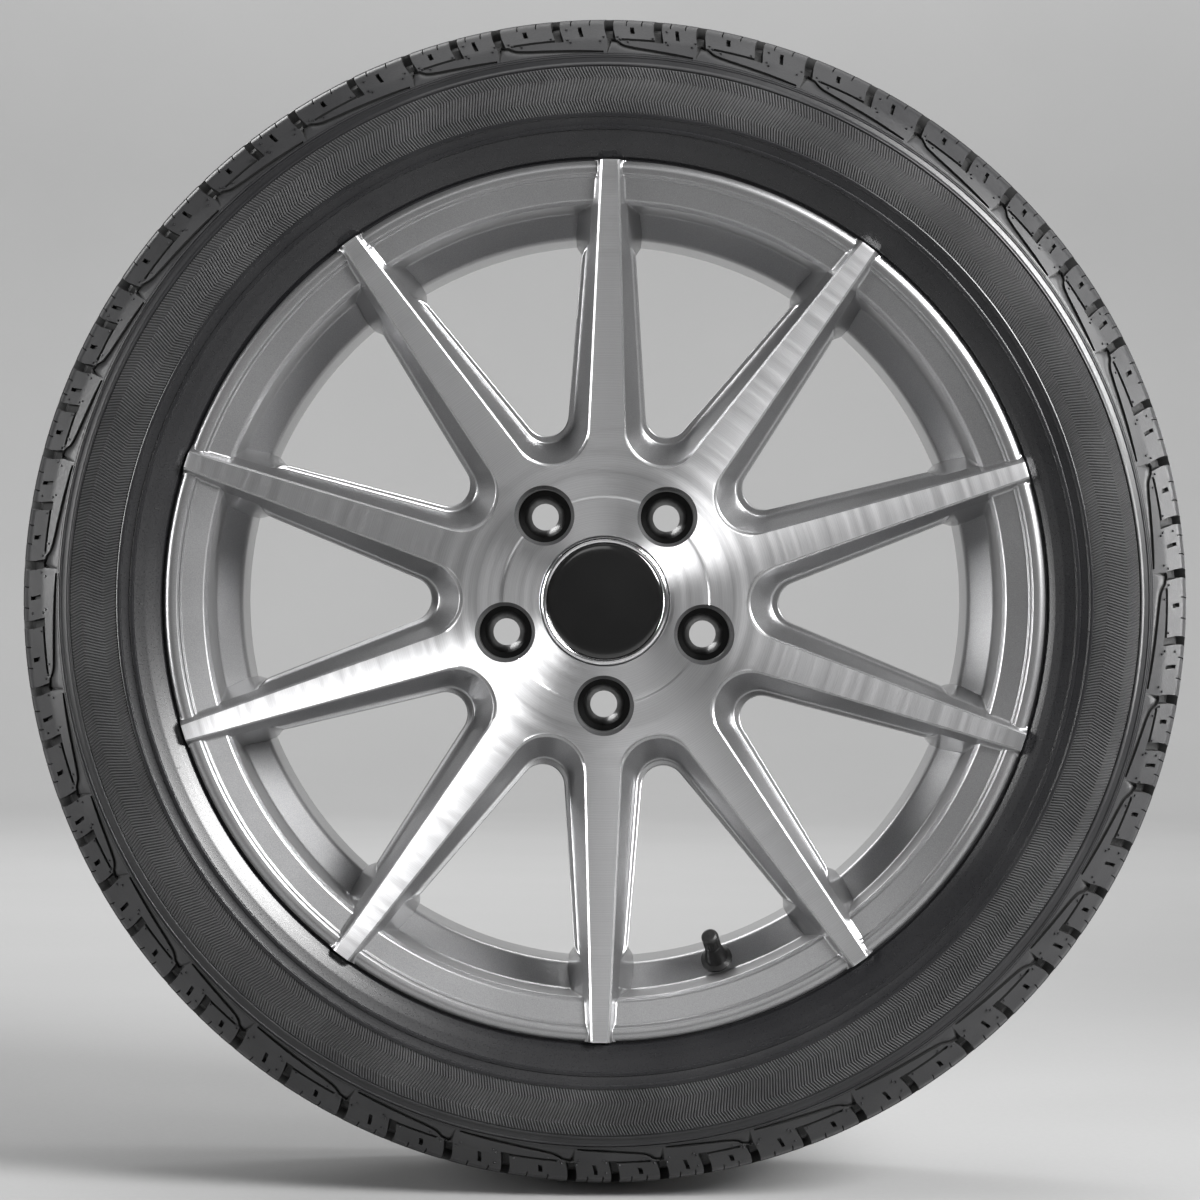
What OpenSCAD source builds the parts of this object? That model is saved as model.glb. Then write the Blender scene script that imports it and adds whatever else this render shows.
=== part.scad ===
// A car tyre on its ten-spoke cast wheel, with the centre cap and the air valve.
// The axis lies along Y and passes through the origin, which is the middle of the tyre.
// The seen face looks toward -Y, the car is on the +Y side, and one spoke stands straight up.
// Each piece is drawn in a lathe frame, Z along the axis toward the viewer, and then laid over.

/* [Rim] */
// Diameter of the bead seats at the flanges
bead_seat_dia = 507.6; // [500:0.1:515]
// Width between the two flange walls
rim_w = 215.9; // [210:0.1:222]
// Height of the flanges above the bead seats
flange_h = 17.4; // [16.5:0.1:18.2]
// How far the front of the lip reaches outside the flange wall
lip_t = 10; // [9:0.5:11]
// Width of the smooth ring at the very edge of the lip
lip_ring_w = 9; // [8:0.25:10]
// Width of the sloping band inside that ring
lip_band_w = 16; // [13:0.5:18]
// Step down from the lip ring to the band
lip_step = 3.2; // [2:0.1:4]
// How much deeper the band is at its inner edge than at its outer one
lip_band_fall = 3; // [2:0.5:5]
// Thickness of the barrel under the bead seats
seat_wall = 9.4; // [8:0.2:11]
// Depth of the drop centre below the bead seats
well_depth = 17.3; // [15:0.1:19]
// Thickness of the rim wall in the drop centre
rim_wall = 8; // [6:0.5:9]
// Thickness of the rim wall behind the drop centre
back_wall = 5.5; // [4.5:0.25:7]
// Distance of the drop centre's front corner from the middle plane
well_front = 41; // [38:1:46]
// Distance of the drop centre's back corner behind the middle plane
well_back = 8; // [0:1:20]
// Width of one bead seat
seat_w = 21; // [19:0.5:22]

/* [Spokes and face] */
// Number of spokes, with a wheel bolt on every other one
spokes = 10; // [8:2:12]
// Distance of the hub face in front of the middle plane
hub_front = 86; // [82:0.5:90]
// How far the machined face stands proud of the lip ring
spoke_proud = 3.5; // [2:0.25:5]
// Radius at which the face starts to rise from the hub toward the lip
rise_start_r = 80; // [76:1:86]
// How curved that rise is, 1 for a straight cone
rise_power = 1.18; // [1:0.02:1.4]
// Width of a spoke's machined face near the hub
spoke_w_hub = 23.2; // [20:0.2:26]
// Width of a spoke's machined face at the lip
spoke_w_lip = 11.8; // [10:0.2:14]
// Draft of the sloping sides of a spoke, from the axis
slope_draft = 25; // [20:1:28]
// Depth of the ledge under the hub face where a window starts
ledge_depth = 18.4; // [16:0.2:21]
// Angle at which the ledge rises toward the lip
ledge_rise = 15; // [13:0.5:17]
// Width of the ledge beside the through hole
ledge_w = 3.3; // [2.5:0.1:5]
// Draft of the walls below the ledge
back_draft = 1.5; // [0.5:0.5:3]
// Radius from the axis of the round end of a window, at the hub face
window_end_r = 114; // [112:0.5:117]
// How far that round end moves outward for each millimetre of depth
window_end_lean = 0.27; // [0.2:0.01:0.35]
// Radius at which the ledge ends and the wall down to the barrel starts
ledge_end_r = 222; // [216:1:225]
// Draft of the wall from the ledge down to the barrel
root_draft = 8; // [5:0.5:10]
// Thickness of the casting under the hub face at the start of the windows
spoke_t_hub = 44; // [38:1:48]
// Depth of a spoke where it meets the barrel
spoke_t_lip = 42; // [40:1:50]

/* [Hub] */
// Distance of the mounting pad in front of the middle plane, the wheel's offset
wheel_offset = 35; // [30:1:40]
// Diameter of the hub bore that centres the wheel
hub_bore_dia = 71.6; // [66:0.1:74]
// Depth of the hub bore from the pad
hub_bore_depth = 20; // [18:1:22]
// Depth of the room above the hub bore that the cap's barbs snap into
clip_room = 7; // [6:0.5:9]
// Diameter of that room
clip_room_dia = 69.6; // [69:0.1:70.4]
// Outer diameter of the mounting pad
pad_dia = 164; // [158:1:172]
// Diameter of the bolt circle
bolt_circle = 130; // [127:0.5:133]
// Diameter of a bolt hole
bolt_hole_dia = 17; // [15:0.5:18]
// Diameter of the pocket that takes a bolt's head
bolt_pocket_dia = 33; // [30:0.5:34]
// Height of the flat pocket floor above the mounting pad
pocket_floor_h = 22; // [18:1:26]
// Diameter of the cone in the pocket floor at its wide end
bolt_seat_dia = 26; // [22:0.5:28]
// Depth of the shallow recess in the middle of the hub face
hub_recess = 0.8; // [0.4:0.1:1.4]
// Diameter of that shallow recess
hub_recess_dia = 130; // [124:1:136]
// Depth of the lightening pockets in the pad between the bolts
pad_pocket_depth = 9; // [4:1:12]

/* [Centre cap] */
// Diameter of the recess that the cap sits in
cap_recess_dia = 81.2; // [80:0.2:83]
// Depth of that recess below the hub recess
cap_recess_depth = 4.4; // [3.5:0.1:6]
// Diameter of the hole that the cap's clips pass through
cap_hole_dia = 66; // [62:0.5:68]
// Gap all round between the cap and its recess
cap_gap = 0.9; // [0.4:0.1:1.4]
// Width of the bright trim ring, seen from the front
trim_w = 3.4; // [2.5:0.1:4.5]
// Thickness of the cap's base plate
cap_plate_t = 2; // [1.5:0.1:2.5]
// Height of the trim ring above the plate
trim_h = 4.6; // [3.5:0.1:5.5]
// How much the middle of the disc is domed
cap_dome = 1.6; // [0.8:0.1:2.4]
// Number of clip legs
cap_legs = 8; // [6:1:10]
// Thickness of a clip leg
cap_leg_t = 2.2; // [1.8:0.1:2.6]
// How far the barbs reach outside the hole
barb = 1.2; // [0.8:0.1:1.6]
// Diameter of the wire of the spring ring inside the legs
wire_dia = 1.6; // [1.2:0.1:2]

/* [Air valve] */
// Diameter of the valve hole
valve_hole_dia = 11.5; // [11.3:0.1:12]
// Radius of the valve hole's middle from the axis
valve_r = 237.5; // [236:0.5:239]
// Lean of the valve away from the axis direction
valve_lean = 38; // [34:1:42]
// Diameter of the valve's rubber foot
valve_foot_dia = 19.6; // [18:0.2:20]
// Thickness of the rim wall left at the valve hole
valve_wall = 4.5; // [4:0.25:5.5]
// Length of the rubber stem outside the rim
valve_rubber_l = 17; // [14:0.5:20]
// Diameter of the rubber stem at its free end
valve_tip_dia = 10; // [9.4:0.1:11]
// Diameter of the brass stem
valve_stem_dia = 7.8; // [7.4:0.1:8.2]
// Length of brass thread beyond the rubber
valve_thread_l = 8; // [6:0.5:10]
// Outer diameter of the valve cap
valve_cap_dia = 10.8; // [10:0.1:12]
// Length of the valve cap
valve_cap_l = 11.5; // [10:0.5:13]

/* [Tyre] */
// Outside diameter of the tyre
tyre_dia = 737.5; // [725:0.5:750]
// Width of the tyre at its widest
tyre_w = 255; // [250:1:262]
// Radius of the crown's arc across the tread
crown_arc = 480; // [400:10:700]
// Half width of the nearly flat part of the tread
crown_half = 90; // [88:1:92]
// Depth of the circumferential grooves
tread_depth = 8; // [6:0.5:9]
// Width of the circumferential grooves
groove_w = 9; // [7:0.5:11]
// Distance of the inner grooves from the middle plane
inner_groove_y = 22; // [20:1:25]
// Distance of the outer grooves from the middle plane
outer_groove_y = 58; // [54:1:62]
// Width of a main lateral groove in the shoulder
lateral_w = 5.6; // [4:0.2:7]
// Width of the thin cuts in the seen shoulder
sipe_w = 1.2; // [0.8:0.1:1.6]
// Width of the foot that each half-pitch groove ends in
foot_w = 1.8; // [1.2:0.2:2.4]
// Height of the two thin ridges on the sidewall
ridge_h = 0.8; // [0.5:0.1:1.2]
// Play between the tyre's beads and the rim
bead_gap = 0.1; // [0.05:0.05:0.3]

/* [Hidden] */
$fn = 96;
far_z = 140;

rubber = [0.10, 0.10, 0.105];
silver = [0.74, 0.74, 0.75];
gloss_black = [0.03, 0.03, 0.03];
bright = [0.86, 0.86, 0.87];
brass = [0.78, 0.62, 0.34];
steel = [0.6, 0.6, 0.62];

// Rim levels, worked out from the sizes above
seat_r = bead_seat_dia / 2;
flange_r = seat_r + flange_h;
flange_z = rim_w / 2;
lip_z = flange_z + lip_t;
ring_in_r = flange_r - lip_ring_w;
band_in_r = ring_in_r - lip_band_w;
band_out_z = lip_z - lip_step;
band_in_z = band_out_z - lip_band_fall;
barrel_r = seat_r - seat_wall;
well_r = seat_r - well_depth;
well_in_r = well_r - rim_wall;
seat_angle = 5;
heel_fillet = 6.5;
curl_r = flange_h - 7.9;
hump_h = 1.2;
leg_r = seat_r - 2.3;
back_leg_r = seat_r - 6.8;
// The walls of the drop centre stand at 45 degrees, so the inner corner shifts by this much
corner_shift = rim_wall * tan(22.5);

// Face and spokes
lip_face_z = lip_z + spoke_proud;
spoke_step = 360 / spokes;
half_step = spoke_step / 2;
bolts = spokes / 2;
hub_u = rise_start_r + 33;
hub_u_z = face_z(hub_u);
draft_k = tan(slope_draft);
// Change of the spoke side's offset along the spoke, so that both face widths come out right
side_b = ((spoke_w_lip - spoke_w_hub) / 2 + draft_k * (lip_face_z - hub_u_z)) / (ring_in_r - hub_u);
ledge_k = tan(ledge_rise);
ledge_start_r = window_end_r - 10;
window_top_slope = 0.24;
window_top_z = hub_front - 20;
bore_top_z = wheel_offset + hub_bore_depth;
clip_edge_z = bore_top_z + clip_room;
cap_floor_z = hub_front - hub_recess - cap_recess_depth;
mouth_edge = 0.6;
pad_pocket_w = 17;
pad_pocket_a = 13;

// Valve place on the sloping wall of the drop centre
valve_z = well_front + corner_shift + (valve_r - well_in_r) - valve_wall / 2;
valve_angle = -90 + half_step;
valve_recess_r = valve_foot_dia / 2 + 0.9;

// Tyre
tread_r = tyre_dia / 2;
section_h = tread_r - seat_r;
tread_end_z = 104;

// Outline helpers
function arc(c, r, a0, a1, n) =
    [for (i = [0:n]) c + r * [cos(a0 + (a1 - a0) * i / n), sin(a0 + (a1 - a0) * i / n)]];
function flip(pts) = [for (p = pts) [p[0], -p[1]]];
function reversed(pts) = [for (i = [len(pts) - 1:-1:0]) pts[i]];
function seat_at(z) = seat_r - (flange_z - z) * tan(seat_angle);

// Height of the machined face at a radius: flat hub, then a gently dished rise to the lip
function face_z(r) = r <= rise_start_r ? hub_front :
    hub_front + (lip_face_z - hub_front)
    * pow(min(1, (r - rise_start_r) / (ring_in_r - rise_start_r)), rise_power);
function ledge_z(r) = hub_front - ledge_depth + (r - ledge_start_r) * ledge_k;

// Half width of a spoke at distance u along it and height z
function slope_v(u, z) = spoke_w_hub / 2 + side_b * (u - hub_u) - draft_k * (z - hub_u_z);
function ledge_v(u) = slope_v(u, ledge_z(u));
function hole_v(u, z) = ledge_v(u) + ledge_w - tan(back_draft) * (ledge_z(u) - z);
function root_v(u, z) = ledge_v(u) + tan(root_draft) * (ledge_z(u) - z);

// A point of the window's frame, X along its middle line, from a spoke's own u and v
function side_point(u, v, side) =
    [u * cos(half_step) + v * sin(half_step), side * (u * sin(half_step) - v * cos(half_step))];
// Radius of the round end that touches both straight sides: v0 is the offset at u = 0, b its change
function end_radius(c, v0, b) = (c * sin(half_step) - v0 - b * c * cos(half_step)) / sqrt(1 + b * b);
function u_outline(c, v0, b, u_far) = let (
        r = end_radius(c, v0, b),
        turn = 90 + half_step - atan(b))
    concat([side_point(u_far, v0 + b * u_far, 1)],
           arc([c, 0], r, turn, 360 - turn, 12),
           [side_point(u_far, v0 + b * u_far, -1)]);

// A solid between two outlines of as many points, a and b at heights a_z and b_z, with b above.
// Its top is cut off level, or sloping with X where top_slope says so.
module loft(a, a_z, b, b_z, top_slope = 0) {
    n = len(a);
    function grow(i) = (b[i] - a[i]) / (b_z - a_z);
    function top_z(i) = (b_z + top_slope * (b[i][0] - grow(i)[0] * b_z)) / (1 - top_slope * grow(i)[0]);
    polyhedron(
        points = concat(
            [for (p = a) [p[0], p[1], a_z]],
            [for (i = [0:n - 1]) let (z = top_z(i), p = b[i] + grow(i) * (z - b_z)) [p[0], p[1], z]]),
        faces = concat([[for (i = [0:n - 1]) i]], [[for (i = [n - 1:-1:0]) n + i]],
                       [for (i = [0:n - 1]) [i, n + i, n + (i + 1) % n, (i + 1) % n]]),
        convexity = 4);
}

// Lays the lathe frame over, so that its Z looks toward the viewer
module lay() { rotate([90, 0, 0]) children(); }
module round_copies(n, first = 0) { for (i = [0:n - 1]) rotate([0, 0, first + i * 360 / n]) children(); }

// The bead side of a rim's flange, from its tip down the curl and the wall to the seat
function flange_bead_side() = concat(
    arc([flange_r - curl_r + 0.3, flange_z + curl_r], curl_r, -20, -90, 5),
    arc([seat_at(flange_z - heel_fillet) + heel_fillet, flange_z - heel_fillet], heel_fillet, 90, 180, 4),
    [[seat_at(flange_z - seat_w), flange_z - seat_w],
     [leg_r + hump_h + 0.6, flange_z - seat_w - 3],
     [leg_r + hump_h + 0.6, flange_z - seat_w - 5],
     [leg_r, flange_z - seat_w - 9.5]]);

// The seen side of the lip and of the barrel's front half, from the lip's edge inward
function rim_front() = concat(
    [[flange_r, lip_z - 3]],
    arc([flange_r - 2.5, lip_z - 2.5], 2.5, 45, 90, 2),
    [[ring_in_r, lip_z],
     [ring_in_r - 0.2, lip_z - lip_step * 0.6],
     [ring_in_r - 1.2, lip_z - lip_step * 0.6],
     [ring_in_r - 1.8, band_out_z],
     [band_in_r + 1.4, band_in_z]],
    arc([band_in_r + 0.9, band_in_z - 2.7], 2.7, 90, 180, 3),
    [[barrel_r, well_front + corner_shift + (barrel_r - well_in_r)],
     [well_in_r + 1.5, well_front + corner_shift + 1.5],
     [well_in_r, well_front + corner_shift - 2]]);

module rim_section() {
    lip_back = [
        [well_in_r, -well_back - corner_shift],
        [back_leg_r - back_wall, -well_back - corner_shift - (back_leg_r - back_wall - well_in_r)],
        [back_leg_r - back_wall, -flange_z + seat_w + 14],
        [barrel_r, -flange_z + seat_w],
        [barrel_r + 1, -flange_z + 5],
        [barrel_r + 8, -flange_z - 2],
        [ring_in_r - 2, -flange_z - lip_t * 0.6],
        [ring_in_r, -lip_z],
        [flange_r - 3, -lip_z],
        [flange_r, -lip_z + 3]];
    outside = [
        [leg_r, well_front + (leg_r - well_r)],
        [well_r, well_front],
        [well_r, -well_back],
        [back_leg_r, -well_back - (back_leg_r - well_r)],
        [back_leg_r, -flange_z + seat_w + 14]];
    polygon(concat(rim_front(), lip_back, flip(flange_bead_side()), reversed(outside),
                   reversed(flange_bead_side())));
}

// Section of the turned disc that the spokes are cut from, hub to lip
module disc_section() {
    steps = 7;
    rise = [for (i = [0:steps]) let (r = rise_start_r + (ring_in_r - rise_start_r) * i / steps) [r, face_z(r)]];
    back = [
        [flange_r, lip_z - 2.9],
        [band_in_r + 3, band_in_z - 6],
        [barrel_r + 3, lip_face_z - spoke_t_lip - 2],
        [barrel_r + 3, well_front + corner_shift + (barrel_r - well_in_r) - 2],
        [well_in_r + 3, well_front + corner_shift],
        [well_in_r - 30, face_z(well_in_r - 30) - spoke_t_lip],
        [hub_u + 15, hub_front - spoke_t_hub + 4],
        [pad_dia / 2 + 6, wheel_offset + 4],
        [pad_dia / 2, wheel_offset],
        [0, wheel_offset]];
    polygon(concat([[0, hub_front]], rise, [[flange_r - 0.8, lip_face_z], [flange_r, lip_face_z - 0.8]], back));
}

// Everything above the ledge, which is a shallow cone
module above_ledge() {
    rotate_extrude() polygon([
        [60, ledge_z(60)], [flange_r + 20, ledge_z(flange_r + 20)], [flange_r + 20, far_z], [60, far_z]]);
}

// The sloping upper part of a window, wide at the face and narrow at the ledge
module window_slope() {
    low = 55;
    function outline(z) = u_outline(
        window_end_r + window_end_lean * (hub_front - z), slope_v(0, z), side_b, flange_r + 30);
    // The top slopes with the face and clears it, so that neighbouring windows don't meet
    loft(outline(low), low, outline(window_top_z), window_top_z, window_top_slope);
}

// The through hole below the ledge
module window_hole() {
    low = wheel_offset - 10;
    b = hole_v(1, 0) - hole_v(0, 0);
    end_r = window_end_r + window_end_lean * ledge_depth + 2.6;
    function outline(z) = u_outline(end_r, hole_v(0, z), b, ledge_end_r + 0.5);
    loft(outline(low), low, outline(far_z), far_z);
}

// The cavity between two spoke roots. Its ends come to points on the window's middle line,
// one inside the through hole and one beyond the barrel, so that nothing is left standing between.
module window_root() {
    low = wheel_offset - 10;
    function corner(u, z, side) = side_point(u, root_v(u, z), side);
    function outline(z) = [
        [ledge_end_r - 22, 0], corner(ledge_end_r, z, -1), corner(barrel_r + 6, z, -1),
        [barrel_r + 12, 0], corner(barrel_r + 6, z, 1), corner(ledge_end_r, z, 1)];
    loft(outline(low), low, outline(far_z), far_z);
}

module spoke_disc() {
    difference() {
        rotate_extrude() disc_section();
        intersection() {
            above_ledge();
            union() { round_copies(spokes, 90 + half_step) window_slope(); }
        }
        round_copies(spokes, 90 + half_step) window_hole();
        round_copies(spokes, 90 + half_step) window_root();
    }
}

module bolt_hole() {
    floor_z = wheel_offset + pocket_floor_h;
    seat_h = (bolt_seat_dia - bolt_hole_dia) / 2 / tan(30);
    translate([0, 0, floor_z]) cylinder(d = bolt_pocket_dia, h = far_z);
    translate([0, 0, floor_z - seat_h]) cylinder(d1 = bolt_hole_dia, d2 = bolt_seat_dia, h = seat_h);
    translate([0, 0, wheel_offset - 5]) cylinder(d = bolt_hole_dia, h = pocket_floor_h + 5);
    // Bright turned edge round the pocket's mouth
    translate([0, 0, hub_front - hub_recess - mouth_edge])
        cylinder(d1 = bolt_pocket_dia, d2 = bolt_pocket_dia + 6, h = 3);
}

// A curved lightening pocket in the pad, between two bolts
module pad_pocket() {
    translate([0, 0, wheel_offset - 1]) linear_extrude(pad_pocket_depth + 1)
        polygon(concat(arc([0, 0], bolt_circle / 2 - pad_pocket_w / 2, -pad_pocket_a, pad_pocket_a, 4),
                       arc([0, 0], bolt_circle / 2 + pad_pocket_w / 2, pad_pocket_a, -pad_pocket_a, 4)));
}

// The valve's own frame: origin at the middle of the wall, Z out through the cap
module at_valve() {
    rotate([0, 0, valve_angle]) translate([valve_r, 0, valve_z]) rotate([0, -valve_lean, 0]) children();
}

module valve_hole_cut() {
    at_valve() {
        translate([0, 0, -30]) cylinder(d = valve_hole_dia, h = 60);
        translate([0, 0, valve_wall / 2]) cylinder(r = valve_recess_r, h = 12);
        translate([0, 0, -valve_wall / 2 - 12]) cylinder(r = valve_recess_r, h = 12);
    }
}

module wheel() {
    color(silver) lay() difference() {
        union() {
            rotate_extrude() rim_section();
            spoke_disc();
        }
        rotate([0, 0, 90 + spoke_step]) round_copies(bolts) translate([bolt_circle / 2, 0, 0]) bolt_hole();
        rotate([0, 0, 90]) round_copies(bolts) pad_pocket();
        // Shallow recess, cap recess, clip hole, room for the barbs and hub bore, one below the other
        translate([0, 0, hub_front - hub_recess]) cylinder(d = hub_recess_dia, h = 20);
        translate([0, 0, cap_floor_z]) cylinder(d = cap_recess_dia, h = 20);
        translate([0, 0, clip_edge_z - 1]) cylinder(d = cap_hole_dia, h = 40);
        translate([0, 0, bore_top_z - 1]) cylinder(d = clip_room_dia, h = clip_room + 1);
        translate([0, 0, wheel_offset - 1]) cylinder(d = hub_bore_dia, h = hub_bore_depth + 1);
        translate([0, 0, wheel_offset - 1]) cylinder(d1 = hub_bore_dia + 6, d2 = hub_bore_dia, h = 3);
        valve_hole_cut();
    }
}

// Centre cap: a base plate with clip legs, a bright ring, a domed disc and a wire ring
cap_r = cap_recess_dia / 2 - cap_gap;
disc_r = cap_r - trim_w;
leg_out_r = cap_hole_dia / 2 - 0.3;
leg_end_z = clip_edge_z - 4.5;
plate_top_z = cap_floor_z + cap_plate_t;
wire_z = (cap_floor_z + leg_end_z) / 2;
wire_r = leg_out_r - cap_leg_t - wire_dia / 2;

module cap_body() {
    color(gloss_black) lay() difference() {
        rotate_extrude() polygon([
            [0, plate_top_z], [cap_r - 0.5, plate_top_z], [cap_r - 0.5, cap_floor_z],
            [leg_out_r, cap_floor_z], [leg_out_r, clip_edge_z],
            [leg_out_r + barb + 0.3, clip_edge_z - 0.3], [leg_out_r + barb, clip_edge_z - 2],
            [leg_out_r, leg_end_z], [leg_out_r - cap_leg_t, leg_end_z],
            [leg_out_r - cap_leg_t, wire_z - wire_dia / 2 - 1.2],
            [leg_out_r - cap_leg_t - 1, wire_z - wire_dia / 2 - 0.6],
            [leg_out_r - cap_leg_t - 1, wire_z - wire_dia / 2 - 0.1],
            [leg_out_r - cap_leg_t, wire_z - wire_dia / 2 - 0.1],
            [leg_out_r - cap_leg_t, cap_floor_z - 1], [0, cap_floor_z]]);
        // Slots that part the skirt into legs
        round_copies(cap_legs, 180 / cap_legs)
            translate([leg_out_r - cap_leg_t - 3, -3.5, leg_end_z - 1])
                cube([10, 7, cap_floor_z - leg_end_z - 1.5]);
    }
}

module cap_trim_ring() {
    color(bright) lay() rotate_extrude() polygon(concat(
        [[disc_r, plate_top_z], [cap_r, plate_top_z]],
        arc([cap_r - 1.2, plate_top_z + trim_h - 1.2], 1.2, 0, 90, 3),
        arc([disc_r + 0.8, plate_top_z + trim_h - 0.8], 0.8, 90, 180, 2)));
}

module cap_disc() {
    edge_h = trim_h - 1.6;
    r = disc_r - 0.15;
    color(gloss_black) lay() rotate_extrude() polygon(concat(
        [[0, plate_top_z], [r, plate_top_z], [r, plate_top_z + edge_h]],
        [for (i = [5:-1:0]) let (x = (r - 1.5) * i / 5)
            [x, plate_top_z + edge_h + 0.4 + cap_dome * (1 - pow(x / (r - 1.5), 2))]]));
}

module cap_spring() {
    color(steel) lay() translate([0, 0, wire_z]) rotate_extrude(angle = 340)
        translate([wire_r - 0.05, 0]) circle(d = wire_dia, $fn = 24);
}

// Air valve: rubber body snapped into the hole, brass stem, core and cap
half_wall = valve_wall / 2;
foot_h = 2.2;
head_h = 5;
stem_out = half_wall + valve_rubber_l;
stem_in = -half_wall - head_h - 2;

module valve_body() {
    neck_r = valve_hole_dia / 2 - 0.05;
    color(rubber) lay() at_valve() rotate_extrude() polygon([
        [valve_stem_dia / 2 + 0.05, stem_in + 0.5], [neck_r + 1.5, stem_in + 0.5],
        [valve_foot_dia / 2 - 1.5, -half_wall - 2.5], [valve_foot_dia / 2 - 1.5, -half_wall - 0.05],
        [neck_r, -half_wall - 0.05], [neck_r, half_wall + 0.05],
        [valve_foot_dia / 2, half_wall + 0.05], [valve_foot_dia / 2, half_wall + foot_h - 0.8],
        [valve_foot_dia / 2 - 1.2, half_wall + foot_h], [7.4, half_wall + foot_h + 1],
        [6.7, half_wall + foot_h + 4], [valve_tip_dia / 2 + 0.6, stem_out - 5],
        [valve_tip_dia / 2, stem_out - 1], [valve_tip_dia / 2 - 0.6, stem_out],
        [valve_stem_dia / 2 + 0.05, stem_out]]);
}

module valve_stem() {
    bore_r = 2.2;
    color(brass) lay() at_valve() rotate_extrude() polygon([
        [bore_r, stem_in], [valve_stem_dia / 2, stem_in],
        [valve_stem_dia / 2, stem_out + valve_thread_l - 0.5],
        [valve_stem_dia / 2 - 0.5, stem_out + valve_thread_l], [bore_r, stem_out + valve_thread_l]]);
}

// The core screws into the brass stem: barrel, collar and the pin that is pressed to let air out
module valve_core() {
    top = stem_out + valve_thread_l - 1.5;
    color(brass) lay() at_valve() rotate_extrude() polygon([
        [0, top - 19], [1.4, top - 19], [1.4, top - 12], [2.1, top - 11], [2.1, top - 0.5],
        [1.6, top], [0.7, top], [0.7, top + 1.2], [0, top + 1.2]]);
}

module valve_cap() {
    cap_top = stem_out + 0.4 + valve_cap_l;
    wall_r = valve_cap_dia / 2;
    color(gloss_black) lay() at_valve() difference() {
        rotate_extrude() polygon(concat(
            [[0, stem_out + 0.4], [wall_r - 0.4, stem_out + 0.4], [wall_r, stem_out + 0.9]],
            arc([wall_r - 2.6, cap_top - 2.6], 2.6, 0, 90, 5),
            [[0, cap_top + 0.4]]));
        translate([0, 0, stem_out]) cylinder(d = valve_stem_dia + 0.2, h = valve_thread_l + 0.8);
        // Grip flutes
        round_copies(12) translate([wall_r + 0.55, 0, stem_out - 1]) cylinder(r = 0.9, h = valve_cap_l - 3, $fn = 16);
    }
}

// Tyre. A sidewall point is a share of the section height and an inset from the widest point.
function side_pt(k, inset) = [seat_r + k * section_h, tyre_w / 2 - inset];
function crown_r(z) = tread_r - z * z / (2 * crown_arc);

bead_wall_z = flange_z - bead_gap;
toe_z = flange_z - seat_w + 0.6;
bead_w = 20;
function sidewall() = [
    side_pt(0.925, 29.5), side_pt(0.902, 25.5), side_pt(0.863, 21.5), side_pt(0.80, 14.6),
    side_pt(0.735, 9.2), side_pt(0.722, 9.4), side_pt(0.716, 8.2), side_pt(0.70, 8.0), side_pt(0.694, 6.2),
    side_pt(0.619, 2.8), side_pt(0.532, 0.6), side_pt(0.445, 0), side_pt(0.40, 0.5)];
// A thin raised ridge round the sidewall between two shares of the section height
function ridge(k, inset) = [
    side_pt(k + 0.011, inset), side_pt(k + 0.006, inset - ridge_h), side_pt(k - 0.006, inset - ridge_h),
    side_pt(k - 0.011, inset + 0.3)];
function bead_outside() = concat(
    [[flange_r + 1.6, lip_z - 2.4], [flange_r + 0.5, lip_z - 4.6]],
    arc([flange_r - curl_r + 0.3, flange_z + curl_r], curl_r + bead_gap, -22, -90, 4),
    arc([seat_at(flange_z - heel_fillet) + heel_fillet + bead_gap, bead_wall_z - heel_fillet],
        heel_fillet, 90, 180, 4),
    [[seat_at(toe_z) + bead_gap, toe_z]]);
function half_outside() = concat(
    [for (i = [0:6]) let (z = crown_half * i / 6) [crown_r(z), z]],
    sidewall(), ridge(0.384, 0.9), ridge(0.315, 3.2),
    [side_pt(0.245, 6.6), side_pt(0.20, 9.4)],
    bead_outside());
function half_inside() = [
    [seat_at(toe_z) + 1.5, toe_z - 1.2], [side_pt(0.05, 0)[0], bead_wall_z - bead_w],
    [side_pt(0.13, 0)[0], bead_wall_z - bead_w / 2], side_pt(0.23, 18.5),
    side_pt(0.33, 11.4), side_pt(0.45, 8), side_pt(0.6, 10.6), side_pt(0.71, 19),
    side_pt(0.80, 33), [crown_r(78) - 11.5, 78], [crown_r(40) - 15, 40], [crown_r(0) - 15.5, 0]];

module tyre_section() {
    half = concat(half_outside(), half_inside());
    difference() {
        polygon(concat(half, [for (i = [len(half) - 2:-1:1]) [half[i][0], -half[i][1]]]));
        for (y = [-outer_groove_y, -inner_groove_y, inner_groove_y, outer_groove_y])
            polygon([
                [crown_r(y) - tread_depth, y - groove_w / 2 + 1], [crown_r(y) - tread_depth, y + groove_w / 2 - 1],
                [tread_r + 5, y + groove_w / 2 + 0.6], [tread_r + 5, y - groove_w / 2 - 0.6]]);
    }
}

// Skins of the shoulder that the cuts stay in: how deep each kind goes
module shoulder_skin(pts, up = 1) {
    rotate_extrude() polygon([for (p = pts) [p[0], up * p[1]]]);
}
module block_skin(up) {
    shoulder_skin([
        [crown_r(outer_groove_y) - tread_depth + 0.4, outer_groove_y],
        [crown_r(crown_half) - tread_depth + 1.5, crown_half],
        side_pt(0.80, 21), side_pt(0.79, 6), [tread_r + 9, tyre_w / 2], [tread_r + 9, outer_groove_y]], up);
}
module sipe_skin() {
    shoulder_skin([side_pt(0.93, 33.5), side_pt(0.85, 24), side_pt(0.79, 17.4), side_pt(0.72, 11.8),
                   side_pt(0.72, 2), side_pt(0.99, 20)]);
}

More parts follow.
